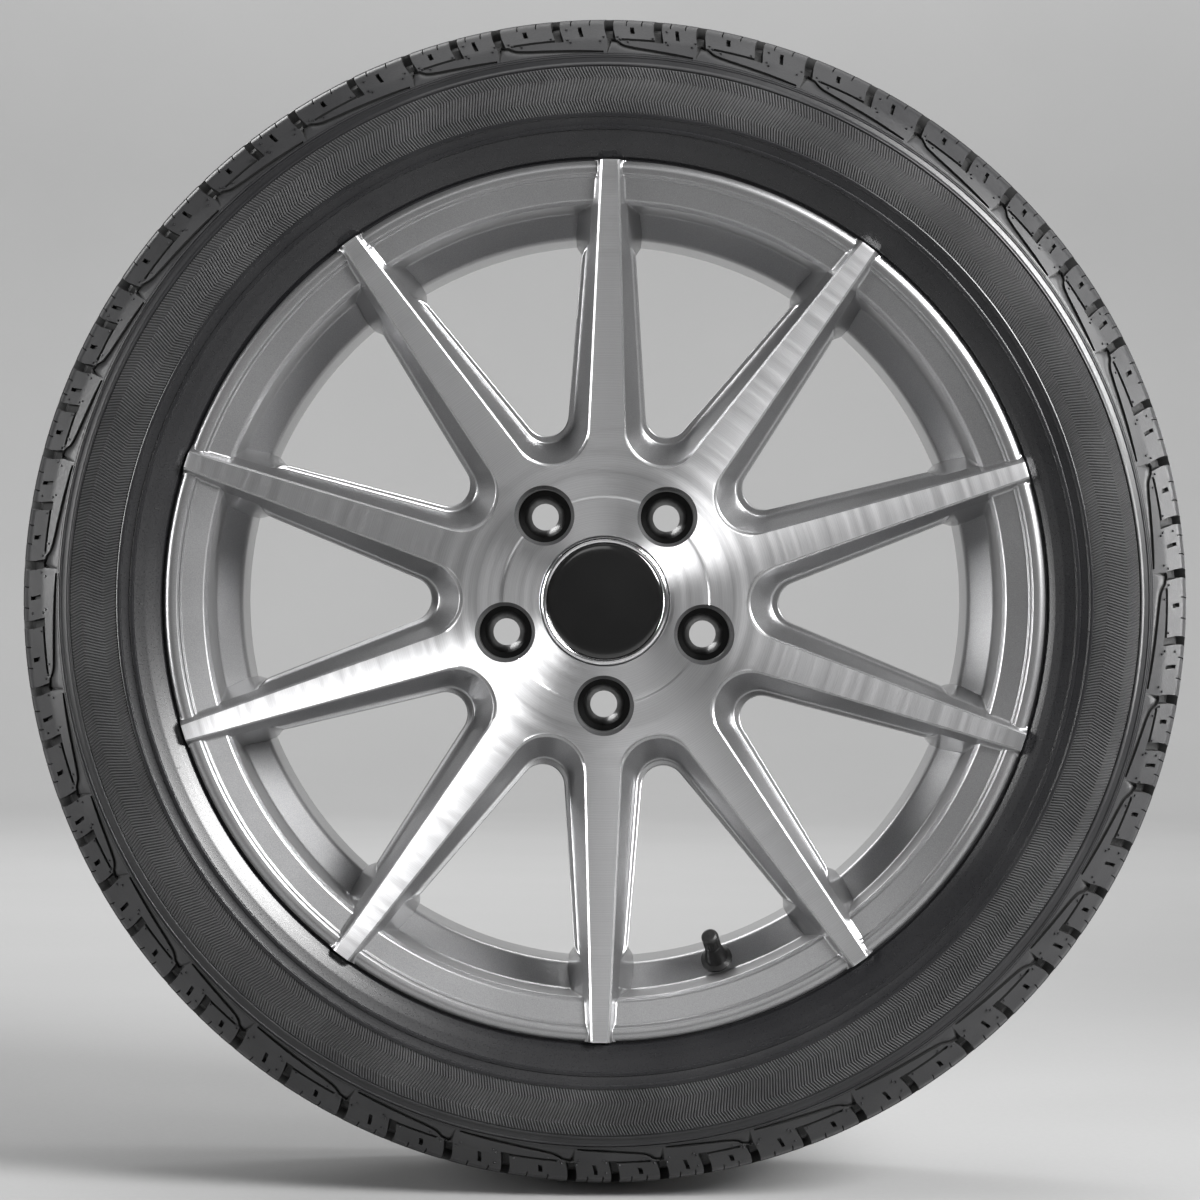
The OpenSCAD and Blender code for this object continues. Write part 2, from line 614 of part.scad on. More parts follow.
// Tread pitches of three lengths in a mixed order, so that the tyre doesn't hum
pitch_order = [9, 11, 12.3, 11, 9, 9, 12.3, 11, 12.3, 9, 11];
pitches = 33;
function pitch_len(i) = pitch_order[i % len(pitch_order)];
pitch_sum = [for (i = 0, s = 0; i <= pitches; s = s + pitch_len(i), i = i + 1) s];
function pitch_at(i) = 360 * pitch_sum[i] / pitch_sum[pitches];

// A plate that stands on the axis at an angle and reaches from one radius to another
module plate(angle, w, r0, r1, z0, z1) {
    rotate([0, 0, angle]) translate([r0, -w / 2, z0]) cube([r1 - r0, w, z1 - z0]);
}

// Where a cut stands: a share of the way through pitch i
function cut_angle(i, share) = 90 - pitch_at(i) - share * (pitch_at(i + 1) - pitch_at(i));
half_pitch = 0.52;

// The wide lateral grooves, a main one and a narrower one in every pitch
module shoulder_grooves(up, shift) {
    z0 = up == 1 ? outer_groove_y : -tyre_w / 2 - 10;
    z1 = up == 1 ? tyre_w / 2 + 10 : -outer_groove_y;
    intersection() {
        block_skin(up);
        union() for (i = [0:pitches - 1]) {
            plate(cut_angle(i, 0) + shift, lateral_w, seat_r, tread_r + 10, z0, z1);
            plate(cut_angle(i, half_pitch) + shift, lateral_w * 0.9, seat_r, tread_r + 10, z0, z1);
        }
    }
}

// The thin cuts of the seen shoulder: tails below the grooves, sipes between them and the feet
module shoulder_sipes() {
    z0 = crown_half - 4;
    z1 = tyre_w / 2 + 5;
    tail_r = side_pt(0.72, 0)[0];
    block_end_r = side_pt(0.785, 0)[0];
    foot_r = side_pt(0.808, 0)[0];
    foot_l = 21;
    intersection() {
        sipe_skin();
        union() for (i = [0:pitches - 1]) {
            plate(cut_angle(i, 0), sipe_w, tail_r, block_end_r + 6, z0, z1);
            plate(cut_angle(i, half_pitch), sipe_w, block_end_r - 7, block_end_r + 6, z0, z1);
            plate(cut_angle(i, 0.25), sipe_w, side_pt(0.82, 0)[0], tread_r, z0, z1);
            plate(cut_angle(i, 0.76), sipe_w, side_pt(0.80, 0)[0], tread_r, z0, z1);
            rotate([0, 0, cut_angle(i, half_pitch)])
                translate([foot_r - foot_w / 2, 0, z0]) cube([foot_w, foot_l, z1 - z0]);
        }
    }
}

module tyre() {
    color(rubber) lay() difference() {
        rotate_extrude() tyre_section();
        shoulder_grooves(1, 0);
        shoulder_grooves(-1, 5);
        shoulder_sipes();
    }
}

tyre();
wheel();
cap_body();
cap_trim_ring();
cap_disc();
cap_spring();
valve_body();
valve_stem();
valve_core();
valve_cap();
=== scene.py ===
import math

import bmesh
import bpy
import numpy as np
from mathutils import Matrix, Vector


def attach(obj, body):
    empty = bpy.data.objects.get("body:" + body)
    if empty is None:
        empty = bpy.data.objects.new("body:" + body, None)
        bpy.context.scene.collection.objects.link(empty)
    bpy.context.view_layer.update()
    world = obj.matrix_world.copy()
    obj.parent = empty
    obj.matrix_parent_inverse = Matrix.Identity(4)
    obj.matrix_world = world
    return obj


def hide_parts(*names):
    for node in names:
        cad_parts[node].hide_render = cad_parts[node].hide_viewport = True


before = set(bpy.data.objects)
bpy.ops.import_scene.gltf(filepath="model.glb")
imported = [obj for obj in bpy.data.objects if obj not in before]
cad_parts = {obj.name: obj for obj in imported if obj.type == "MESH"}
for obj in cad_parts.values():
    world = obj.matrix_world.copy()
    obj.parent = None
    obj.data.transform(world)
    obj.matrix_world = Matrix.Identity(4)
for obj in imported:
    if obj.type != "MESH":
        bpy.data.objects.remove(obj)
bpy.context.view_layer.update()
print("frame loaded")

rad, tau = math.radians, 2 * math.pi


def cosd(a):
    return math.cos(rad(a))


def sind(a):
    return math.sin(rad(a))


def tand(a):
    return math.tan(rad(a))


# Round things are worked out as on a lathe: millimetres, z along the axle toward the viewer, x right, y up
def latheToWorld(p):
    p = np.asarray(p, float)
    return np.stack([p[..., 0], -p[..., 2], p[..., 1]], -1) / 1000


def polar(r, a, z):
    r, a, z = np.broadcast_arrays(r, a, z)
    return np.stack([r * np.cos(a), r * np.sin(a), z], -1)


def smoothstep(x, lo, hi):
    t = np.clip((np.asarray(x, float) - lo) / (hi - lo), 0, 1)
    return t * t * (3 - 2 * t)


def addMesh(name, points, faces, mats, matIndex=None, sharpDeg=30):
    weld = 2e-6  # metres
    mesh = bpy.data.meshes.new(name)
    mesh.from_pydata(latheToWorld(points).tolist(), [], [list(map(int, f)) for f in faces])
    for m in mats:
        mesh.materials.append(m)
    if matIndex is not None:
        mesh.polygons.foreach_set("material_index", np.asarray(matIndex, np.int32))
    bm = bmesh.new()
    bm.from_mesh(mesh)
    bmesh.ops.remove_doubles(bm, verts=bm.verts, dist=weld)
    bmesh.ops.dissolve_degenerate(bm, edges=bm.edges, dist=weld)
    bmesh.ops.recalc_face_normals(bm, faces=bm.faces)
    bm.to_mesh(mesh)
    bm.free()
    mesh.shade_smooth()
    mesh.set_sharp_from_angle(angle=rad(sharpDeg))
    obj = bpy.data.objects.new(name, mesh)
    bpy.context.scene.collection.objects.link(obj)
    return obj


# Quads of a grid of points, closed into a ring either way
def gridFaces(rows, cols, closeRows=False, closeCols=False):
    i = np.arange(rows if closeRows else rows - 1)[:, None]
    j = np.arange(cols if closeCols else cols - 1)[None, :]
    i2, j2 = (i + 1) % rows, (j + 1) % cols
    quads = np.stack(np.broadcast_arrays(i * cols + j, i2 * cols + j, i2 * cols + j2, i * cols + j2), -1)
    return quads.reshape(-1, 4)


# A section in (r, z): corners (r, z) or (r, z, rounding)
def roundedSection(corners, closed=True, arcSteps=5):
    n, out = len(corners), []
    for k, corner in enumerate(corners):
        p = np.array(corner[:2], float)
        radius = corner[2] if len(corner) > 2 else 0
        if radius == 0 or (not closed and k in (0, n - 1)):
            out.append(p)
            continue
        a = np.array(corners[k - 1][:2], float) - p
        b = np.array(corners[(k + 1) % n][:2], float) - p
        la, lb = np.linalg.norm(a), np.linalg.norm(b)
        a, b = a / la, b / lb
        turn = math.pi - math.acos(max(-1.0, min(1.0, float(a @ b))))
        if turn < 0.02:
            out.append(p)
            continue
        d = min(radius * math.tan(turn / 2), 0.48 * la, 0.48 * lb)
        realR = d / math.tan(turn / 2)
        mid = p + (a + b) / np.linalg.norm(a + b) * realR / math.cos(turn / 2)
        start, end = p + a * d - mid, p + b * d - mid
        swing = math.atan2(start[0] * end[1] - start[1] * end[0], start @ end)
        for s in range(arcSteps + 1):
            t = swing * s / arcSteps
            out.append(mid + [start[0] * math.cos(t) - start[1] * math.sin(t),
                              start[0] * math.sin(t) + start[1] * math.cos(t)])
    return np.array(out)


# Points on an arc of a section, given its middle and radius
def arc(circle, start, end, count):
    r, z, radius = circle
    return [(r + radius * cosd(a), z + radius * sind(a)) for a in np.linspace(start, end, count)]


# Turns a section round the axle into a closed ring
def spin(name, section, mats, segments=360, sharpDeg=30, slots=None, closed=True):
    a = np.linspace(0, tau, segments, endpoint=False)[:, None]
    pts = polar(section[None, :, 0], a, section[None, :, 1])
    faces = gridFaces(segments, len(section), True, closed)
    index = None if slots is None else np.tile(slots, segments)
    return addMesh(name, pts.reshape(-1, 3), faces, mats, index, sharpDeg)


# Cuts one piece out of another and drops the cutter
def cutAway(obj, cutter):
    mod = obj.modifiers.new("cut", "BOOLEAN")
    mod.operation, mod.solver, mod.object, mod.material_mode = "DIFFERENCE", "EXACT", cutter, "TRANSFER"
    mesh = bpy.data.meshes.new_from_object(obj.evaluated_get(bpy.context.evaluated_depsgraph_get()))
    obj.modifiers.clear()
    old = obj.data
    obj.data = mesh
    bpy.data.meshes.remove(old)
    bpy.data.objects.remove(cutter)
    mesh.shade_smooth()
    mesh.set_sharp_from_angle(angle=rad(30))


# Materials
def newMaterial(name):
    mat = bpy.data.materials.new(name)
    mat.use_nodes = True
    mat.node_tree.nodes.clear()
    return mat, mat.node_tree.nodes, mat.node_tree.links


def newGroup(name, inputs, outputs):
    group = bpy.data.node_groups.new(name, "ShaderNodeTree")
    for label, kind, value in inputs:
        group.interface.new_socket(name=label, in_out="INPUT", socket_type=kind).default_value = value
    for label, kind in outputs:
        group.interface.new_socket(name=label, in_out="OUTPUT", socket_type=kind)
    nodes = group.nodes
    return group, nodes.new("NodeGroupInput"), nodes.new("NodeGroupOutput"), nodes, group.links


def mathNode(nodes, links, operation, a, b=None, c=None):
    node = nodes.new("ShaderNodeMath")
    node.operation = operation
    for socket, value in zip(node.inputs, (a, b, c)):
        if value is None:
            continue
        if isinstance(value, (int, float)):
            socket.default_value = value
        else:
            links.new(value, socket)
    return node.outputs[0]


# Fine mottling of cast, painted or moulded surfaces: a mask and a height
def buildGrainGroup():
    group, gin, gout, nodes, links = newGroup(
        "surfaceGrain",
        [("Fine scale", "NodeSocketFloat", 900.0), ("Broad scale", "NodeSocketFloat", 14.0)],
        [("Fine", "NodeSocketFloat"), ("Broad", "NodeSocketFloat")])
    coords = nodes.new("ShaderNodeTexCoord")
    for label, detail in (("Fine", 3.0), ("Broad", 4.0)):
        noise = nodes.new("ShaderNodeTexNoise")
        noise.inputs["Detail"].default_value = detail
        links.new(coords.outputs["Object"], noise.inputs["Vector"])
        links.new(gin.outputs[label + " scale"], noise.inputs["Scale"])
        links.new(noise.outputs["Fac"], gout.inputs[label])
    return group


# Turning marks: rings round the axle, uneven in width and strength
def buildTurningGroup():
    group, gin, gout, nodes, links = newGroup(
        "turningMarks",
        [("Rings per metre", "NodeSocketFloat", 2600.0), ("Waviness", "NodeSocketFloat", 0.5)],
        [("Rings", "NodeSocketFloat"), ("Bands", "NodeSocketFloat")])
    coords = nodes.new("ShaderNodeTexCoord")
    parts = nodes.new("ShaderNodeSeparateXYZ")
    links.new(coords.outputs["Object"], parts.inputs[0])
    x2 = mathNode(nodes, links, "MULTIPLY", parts.outputs["X"], parts.outputs["X"])
    r2 = mathNode(nodes, links, "MULTIPLY_ADD", parts.outputs["Z"], parts.outputs["Z"], x2)
    radius = mathNode(nodes, links, "SQRT", r2)
    for label, scale, detail in (("Rings", 1.0, 2.0), ("Bands", 0.06, 3.0)):
        noise = nodes.new("ShaderNodeTexNoise")
        noise.noise_dimensions = "1D"
        noise.inputs["Detail"].default_value = detail
        noise.inputs["Scale"].default_value = 1.0
        links.new(gin.outputs["Waviness"], noise.inputs["Roughness"])
        turns = mathNode(nodes, links, "MULTIPLY", radius, gin.outputs["Rings per metre"])
        links.new(mathNode(nodes, links, "MULTIPLY", turns, scale), noise.inputs["W"])
        links.new(noise.outputs["Fac"], gout.inputs[label])
    return group


grainGroup = buildGrainGroup()
turningGroup = buildTurningGroup()


def placeGroup(nodes, group, **values):
    node = nodes.new("ShaderNodeGroup")
    node.node_tree = group
    for key, value in values.items():
        node.inputs[key.replace("_", " ")].default_value = value
    return node


# Noise stays mostly between these two values
noiseSpan = (0.3, 0.7)


def mapRange(nodes, links, source, lo, hi):
    node = nodes.new("ShaderNodeMapRange")
    for label, value in zip(("From Min", "From Max", "To Min", "To Max"), (*noiseSpan, lo, hi)):
        node.inputs[label].default_value = value
    links.new(source, node.inputs["Value"])
    return node.outputs["Result"]


def colourBetween(nodes, links, source, dark, light):
    ramp = nodes.new("ShaderNodeValToRGB")
    for element, place, colour in zip(ramp.color_ramp.elements, noiseSpan, (dark, light)):
        element.position, element.color = place, (*colour, 1)
    links.new(source, ramp.inputs["Fac"])
    return ramp.outputs["Color"]


def bumpFrom(nodes, links, height, distance, strength):
    bump = nodes.new("ShaderNodeBump")
    bump.inputs["Strength"].default_value = strength
    bump.inputs["Distance"].default_value = distance
    links.new(height, bump.inputs["Height"])
    return bump.outputs["Normal"]


def finishShader(nodes, links, **values):
    shader = nodes.new("ShaderNodeBsdfPrincipled")
    out = nodes.new("ShaderNodeOutputMaterial")
    links.new(shader.outputs[0], out.inputs["Surface"])
    for key, value in values.items():
        shader.inputs[key.replace("_", " ")].default_value = value
    return shader


# Each of tone, wear and relief: the group's output to use, then its values
def linkFinish(nodes, links, shader, group, tone, wear, relief=None):
    links.new(colourBetween(nodes, links, group.outputs[tone[0]], *tone[1:]), shader.inputs["Base Color"])
    links.new(mapRange(nodes, links, group.outputs[wear[0]], *wear[1:]), shader.inputs["Roughness"])
    if relief:
        links.new(bumpFrom(nodes, links, group.outputs[relief[0]], *relief[1:]), shader.inputs["Normal"])


turnedFinish = {"rings": 2600.0, "ringHeight": 0.00002, "roughness": (0.29, 0.34), "anisotropy": 0.9,
                "anisotropyTurn": 0.25, "colours": ((0.72, 0.72, 0.73), (0.86, 0.86, 0.87))}


def buildTurnedAlloy():
    f = turnedFinish
    mat, nodes, links = newMaterial("turnedAlloy")
    marks = placeGroup(nodes, turningGroup, Rings_per_metre=f["rings"], Waviness=0.5)
    shader = finishShader(nodes, links, Metallic=1.0, Anisotropic=f["anisotropy"],
                          Anisotropic_Rotation=f["anisotropyTurn"])
    linkFinish(nodes, links, shader, marks, ("Rings", *f["colours"]), ("Bands", *f["roughness"]),
               ("Rings", f["ringHeight"], 0.5))
    tangent = nodes.new("ShaderNodeTangent")
    tangent.direction_type, tangent.axis = "RADIAL", "Y"
    links.new(tangent.outputs[0], shader.inputs["Tangent"])
    return mat


paintFinish = {"flakes": 2600.0, "flakeHeight": 0.00002, "roughness": (0.30, 0.37), "metallic": 0.9,
               "coat": 0.4, "coatRoughness": 0.1, "colours": ((0.27, 0.27, 0.275), (0.41, 0.41, 0.415))}


def buildSilverPaint():
    f = paintFinish
    mat, nodes, links = newMaterial("silverPaint")
    grain = placeGroup(nodes, grainGroup, Fine_scale=f["flakes"], Broad_scale=9.0)
    shader = finishShader(nodes, links, Metallic=f["metallic"], Coat_Weight=f["coat"],
                          Coat_Roughness=f["coatRoughness"])
    linkFinish(nodes, links, shader, grain, ("Fine", *f["colours"]), ("Broad", *f["roughness"]),
               ("Fine", f["flakeHeight"], 0.6))
    return mat


# dark and light colour, roughness range, grain per metre, its height in metres, metallic, coat
grainedFinishes = {
    "treadRubber": ((0.016, 0.016, 0.017), (0.028, 0.028, 0.029), (0.36, 0.50), 700.0, 0.00012),
    "wallRubber": ((0.010, 0.010, 0.011), (0.017, 0.017, 0.018), (0.30, 0.42), 900.0, 0.00006),
    # lighter than the other rubbers: painted sheen for the light the ribs catch
    "ribSheenRubber": ((0.042, 0.042, 0.043), (0.062, 0.062, 0.063), (0.28, 0.36), 900.0, 0.00003),
    "beadRubber": ((0.008, 0.008, 0.009), (0.013, 0.013, 0.014), (0.26, 0.33), 1200.0, 0.000008),
    # darkest rubber: painted shade on groove floors and in the cuts; also the hidden lining's rubber
    "grooveShadeAndLinerRubber": ((0.004, 0.004, 0.004), (0.007, 0.007, 0.007), (0.55, 0.7), 900.0, 0.0001),
    "glossBlack": ((0.004, 0.004, 0.004), (0.006, 0.006, 0.006), (0.10, 0.16), 400.0, 0.00001, 0.0, 1.0),
    # near-black painted shade inside the bolt pockets, standing in for their shadow; also the cap body's
    # black
    "capBlackAndPocketShade": ((0.006, 0.006, 0.006), (0.012, 0.012, 0.012), (0.3, 0.4), 700.0, 0.00004, 0.0, 0.3),
    "brightTrim": ((0.72, 0.72, 0.73), (0.82, 0.82, 0.83), (0.10, 0.18), 500.0, 0.00001, 1.0),
    "stemBrass": ((0.60, 0.44, 0.20), (0.72, 0.55, 0.27), (0.25, 0.38), 900.0, 0.00002, 1.0),
    "springSteel": ((0.42, 0.42, 0.43), (0.52, 0.52, 0.53), (0.25, 0.35), 900.0, 0.00002, 1.0),
    "valveRubber": ((0.010, 0.010, 0.010), (0.018, 0.018, 0.018), (0.35, 0.5), 1200.0, 0.00005),
}


def buildGrained(name):
    dark, light, roughness, fine, height, metallic, coat = (*grainedFinishes[name], 0.0, 0.0)[:7]
    mat, nodes, links = newMaterial(name)
    grain = placeGroup(nodes, grainGroup, Fine_scale=fine, Broad_scale=22.0)
    shader = finishShader(nodes, links, Metallic=metallic, Coat_Weight=coat, Coat_Roughness=0.06)
    linkFinish(nodes, links, shader, grain, ("Broad", dark, light), ("Fine", *roughness),
               ("Fine", height, 0.6))
    return mat


turnedAlloy, silverPaint = buildTurnedAlloy(), buildSilverPaint()
treadRubber, wallRubber, ribSheenRubber = map(buildGrained, ("treadRubber", "wallRubber", "ribSheenRubber"))
beadRubber, grooveShadeAndLinerRubber, valveRubber = map(buildGrained, ("beadRubber", "grooveShadeAndLinerRubber", "valveRubber"))
glossBlack, capBlackAndPocketShade, brightTrim = map(buildGrained, ("glossBlack", "capBlackAndPocketShade", "brightTrim"))
stemBrass, springSteel = map(buildGrained, ("stemBrass", "springSteel"))
print("materials ready")

# Spokes, hub and their back
star = {
    "spokes": 10, "faceCols": 10, "arcRows": 16, "hubFront": 86.0, "riseStart": 80.0, "risePower": 1.18,
    "levelStart": 250.0, "levelOff": 0.0041, "lipFace": 121.45, "ringInner": 262.2, "lipRadius": 271.2,
    "bevelDrop": 0.9, "slopeDraft": 25.0,
    # Each rail: half width at the axle, its change per mm, middle and radius of the window's round end
    "turned": (14.5, -0.0364, 112.4, 24.1), "bevel": (15.75, -0.0364, 113.9, 23.4),
    "foot": (28.56, -0.0677, 120.5, 16.4), "hole": (32.8, -0.0749, 122.2, 13.6),
    "ledgeStart": 104.0, "ledgeStartZ": 67.6, "ledgeRise": 15.0, "ledgeEnd": 222.0,
    "rootFoot": (11.6, -0.035), "rootDraft": 0.16, "backDraft": 1.5, "flareStart": 242.2, "flareRadius": 2.2,
    "backEnd": 231.5, "rootBlend": (213.0, 223.5), "rimBlend": (244.5, 247.0),
    "back": [(88.0, 39.0), (128.0, 46.0), (198.5, 65.5), (231.5, 44.3), (247.4, 60.2)],
    "recessRadius": 65.0, "recessDepth": 0.8, "capRadius": 40.6, "capFloor": 80.8, "capHole": 33.0,
    "clipEdge": 62.0, "clipRoom": 34.8, "boreTop": 55.0, "bore": 35.8, "padRadius": 82.0, "padZ": 35.0,
}
rimSizes = {"segments": 400, "ringCrown": 118.0, "ringStep": 116.03, "bandOuter": 114.75, "bandInner": 111.75,
            "barrel": 244.4, "slopeTop": 60.2, "well": 228.5, "wellFront": 44.31, "wellBack": -11.31,
            # middle (r, z) and radius
            "curl": (261.7, 117.45, 9.5), "heel": (259.73, 101.45, 6.5)}


# The turned face: it rises from the hub and levels out toward the lip
def faceZ(r):
    r = np.asarray(r, float)
    t = np.clip((r - star["riseStart"]) / (star["ringInner"] - star["riseStart"]), 0, None)
    rise = (star["lipFace"] - star["hubFront"]) * t ** star["risePower"]
    return star["hubFront"] + rise - star["levelOff"] * np.clip(r - star["levelStart"], 0, None) ** 2


def ledgeZ(r):
    return star["ledgeStartZ"] + (np.asarray(r, float) - star["ledgeStart"]) * tand(star["ledgeRise"])


def backZ(r):
    return np.interp(r, *zip(*star["back"]))


def rimSection():
    s = rimSizes
    beadSide = [*arc(s["curl"], -15, -90, 6), *arc(s["heel"], 90, 180, 5),
                (251.96, 86.95), (253.3, 83.95), (253.3, 81.95), (251.5, 77.45)]
    front = [
        (271.2, 115.6, 2.2), (267.4, s["ringCrown"] + 0.1, 6), (263.1, 117.1, 1.0),
        (262.3, s["ringStep"], 0.3), (261.1, s["ringStep"], 0.5), (260.3, s["bandOuter"], 0.6),
        (247.0, s["bandInner"] - 0.1, 2.4), (s["barrel"], 108.2, 2.0), (s["barrel"], s["slopeTop"], 4),
        (s["well"], s["wellFront"], 9), (s["well"], s["wellBack"], 9), (241.5, -24.3, 6), (241.5, -72.95, 8),
        (244.4, -86.95, 8), (245.4, -102.95, 5), (252.4, -109.95, 5), (260.2, -113.95, 2),
        (262.2, -117.95, 1), (268.2, -117.95, 2), (271.2, -115.0)]
    backSide = [(r, -z) for r, z in beadSide]
    outside = [(251.5, 56.0, 6), (236.5, 41.0, 6), (236.5, -8.0, 6), (247.0, -18.5, 6), (247.0, -72.95)]
    return roundedSection(front + backSide[1:] + outside[::-1] + beadSide[::-1][:-1], True, 5)


# Seen surface of the rim where the spokes run into it
def rimTopZ(r):
    seen = rimSection()[:60]
    seen = seen[:np.argmax(seen[:, 0] < rimSizes["barrel"] + 0.01)]
    return np.interp(r, np.minimum.accumulate(seen[:, 0])[::-1], seen[::-1, 1])


def railEnd(rail):
    halfWidth, change, c, radius = star[rail]
    return c * cosd(18) + radius * cosd(270 + math.degrees(math.atan(change)))


# Points of a rail, in the spoke's own u along it and v across it
def railPoints(rail, straight):
    halfWidth, change, c, radius = star[rail]
    a = np.radians(np.linspace(198, 270 + math.degrees(math.atan(change)), star["arcRows"] + 1))
    u = c * cosd(18) + radius * np.cos(a)
    v = c * sind(18) + radius * np.sin(a)
    lead = (railEnd(rail) - railEnd("turned")) * np.clip(1 - (straight - railEnd("turned")) / 32, 0, 1)
    us = straight + lead
    return np.concatenate([u, us]), np.concatenate([v, halfWidth + change * us])


# A path through 3-D corners with each corner rounded by the same count of points in every row
def softPath(corners, radii, steps):
    rows, n = corners[0].shape[0], len(corners)
    out = [corners[0][:, None, :]]
    for k in range(1, n - 1):
        p, a, b = corners[k], corners[k - 1] - corners[k], corners[k + 1] - corners[k]
        la = np.linalg.norm(a, axis=1, keepdims=True) + 1e-9
        lb = np.linalg.norm(b, axis=1, keepdims=True) + 1e-9
        cosTurn = np.clip(-(a * b).sum(1, keepdims=True) / la / lb, -1, 1)
        d = np.asarray(radii[k], float).reshape(-1, 1) * np.tan(np.arccos(cosTurn) / 2)
        da, db = np.minimum(d, 0.45 * la), np.minimum(d, 0.45 * lb)
        start, end = p + a / la * da, p + b / lb * db
        if steps[k] == 0:
            out.append(p[:, None, :])
            continue
        t = np.linspace(0, 1, steps[k] + 1)[None, :, None]
        out.append((1 - t) ** 2 * start[:, None] + 2 * t * (1 - t) * p[:, None] + t ** 2 * end[:, None])
    out.append(corners[-1][:, None, :])
    return np.concatenate(out, 1)


def spokeRows():
    straight = np.array([
        108, 112, 117, 123, 130, 138, 148, 160, 172, 184, 194, 202, 208, 212, 214.5, 217, 219, 220.5, 222,
        223.5, 225.5, 228, 230, 232, 234.5, 237, 239.5, 241.6, 242.8, 243.5, 244, 244.4, 244.9, 245.5, 246.2,
        247, 248.5, 251, 254, 257, 259.4, 260.3, 260.9, 261.5, 262.1, 262.6, 263.4, 265, 267, 269, 270.2])
    (uT, vT), (uB, vB), (uF, vF), (uH, vH) = [railPoints(rail, straight)
                                              for rail in ("turned", "bevel", "foot", "hole")]
    rT = np.hypot(uT, vT)
    zB = faceZ(np.hypot(uB, vB)) - star["bevelDrop"]

    def point(u, v, z):
        return np.stack(np.broadcast_arrays(u, v, z), 1)

    # With a ledge and a through hole beside the spoke
    zF, zH = ledgeZ(np.hypot(uF, vF)), ledgeZ(np.hypot(uH, vH))
    zW = backZ(np.hypot(uH, vH))
    vW = vH - tand(star["backDraft"]) * (zH - zW) * (np.arange(len(vH)) > star["arcRows"] // 2)
    withHole = [point(uF, vF, zF), point(uH, vH, zH), point(uH, vW, zW), point(uH, vW * 0.8, zW - 0.2),
                point(uH, vW * 0.6, zW)]
    # On the root, where one wall runs down to the barrel
    v1 = star["rootFoot"][0] + star["rootFoot"][1] * (uF - 230)
    z1 = zB - (v1 - vB) / tand(star["slopeDraft"])
    q = star["flareRadius"]
    flare = q - np.sqrt(np.clip(q ** 2 - np.clip(uF - star["flareStart"], 0, q) ** 2, 0, None))
    low, high = rimSizes["wellFront"], rimSizes["slopeTop"]
    bottom = np.where(uF < star["backEnd"], backZ(uF), np.clip(low + (uF - rimSizes["well"]), low, high))
    vWall, vBottom = [v1 + star["rootDraft"] * (z1 - z) + flare for z in (z1 - 3, bottom)]
    outward = smoothstep(uF, 229, 232) * 5 - 2
    onRoot = [point(uF, v1 + flare * 0.3, z1), point(uF, vWall, z1 - 3), point(uF, vBottom, bottom),
              point(uF, vBottom + outward, bottom - 0.1), point(uF, vBottom * 0.6, bottom - 2)]
    # On the band and the lip ring
    zR = rimTopZ(uF)
    v2 = vB + (zB - zR) * tand(star["slopeDraft"])
    reach = np.interp(uF, [246, 260, 262.5, 271], [3.6, 3.6, 1.6, 1.6])
    onRim = [point(uF, v2, zR), point(uF, v2 + reach, zR - 0.06), point(uF, v2 + reach, zR - 0.5),
             point(uF, v2 + reach * 0.8, zR - 1.5), point(uF, v2 * 0.6, zR - 2)]
    toRoot = smoothstep(uF, *star["rootBlend"])[:, None]
    toRim = smoothstep(uF, *star["rimBlend"])[:, None]
    corners = []
    for a, b, c in zip(withHole, onRoot, onRim):
        corners.append((a * (1 - toRoot) + b * toRoot) * (1 - toRim) + c * toRim)
    rF = np.interp(uF, [100, 214, 224, 244, 247, 261, 263], [2.2, 2.2, 1.5, 1.5, 2.6, 2.6, 1.0])
    rH = np.interp(uF, [100, 214, 224], [0.8, 0.8, 2.0])
    rJ = np.interp(uF, [100, 229, 233], [1.0, 1.0, 2.4])
    path = softPath([point(uT, vT, faceZ(rT)), point(uB, vB, zB), *corners],
                    [0, 0.5, rF, rH, rJ, 0, 0], [0, 2, 5, 4, 4, 0, 0])
    # Front and back fill between the spoke's middle line and this path, on circles round the axle
    n = star["faceCols"]
    share = np.linspace(0, 1, n + 1)[None, :-1]
    front = polar(rT[:, None], np.arctan2(vT, uT)[:, None] * share, faceZ(rT)[:, None])
    last = path[:, -1]
    back = polar(np.hypot(last[:, 0], last[:, 1])[:, None],
                 np.arctan2(last[:, 1], last[:, 0])[:, None] * share[:, ::-1], last[:, 2][:, None])
    return np.concatenate([front, path, back], 1)


# Rings of the hub from the spokes' inner end, through the cap's seat and the bore, to the back
def hubRings(rFirst, rLast):
    s = star
    z0, z1 = s["hubFront"], s["hubFront"] - s["recessDepth"]
    front = [(r, float(faceZ(r))) for r in np.linspace(rFirst, 80, 4)[1:]]
    front += [(r, z0) for r in (76, 72, 69, 67, 65.8)] + [(65.2, z0 - 0.15), (64.6, z1 + 0.15)]
    front += [(r, z1) for r in (64, 60, 55, 50, 46, 43)]
    front += [(s["capRadius"] + 0.4, z1), (s["capRadius"], z1 - 0.4)]
    inside = [(s["capRadius"], s["capFloor"]), (s["capHole"], s["capFloor"]), (s["capHole"], s["clipEdge"]),
              (s["clipRoom"], s["clipEdge"]), (s["clipRoom"], s["boreTop"]), (s["bore"], s["boreTop"]),
              (s["bore"], s["padZ"] + 2), (s["bore"] + 2, s["padZ"])]
    back = [(50, s["padZ"]), (65, s["padZ"]), (s["padRadius"], s["padZ"]),
            (s["padRadius"] + 6, s["padZ"] + 4), (100, float(backZ(100)))]
    if rLast > 112:
        back.append((110, float(backZ(110))))
    return front + inside + back, len(front)


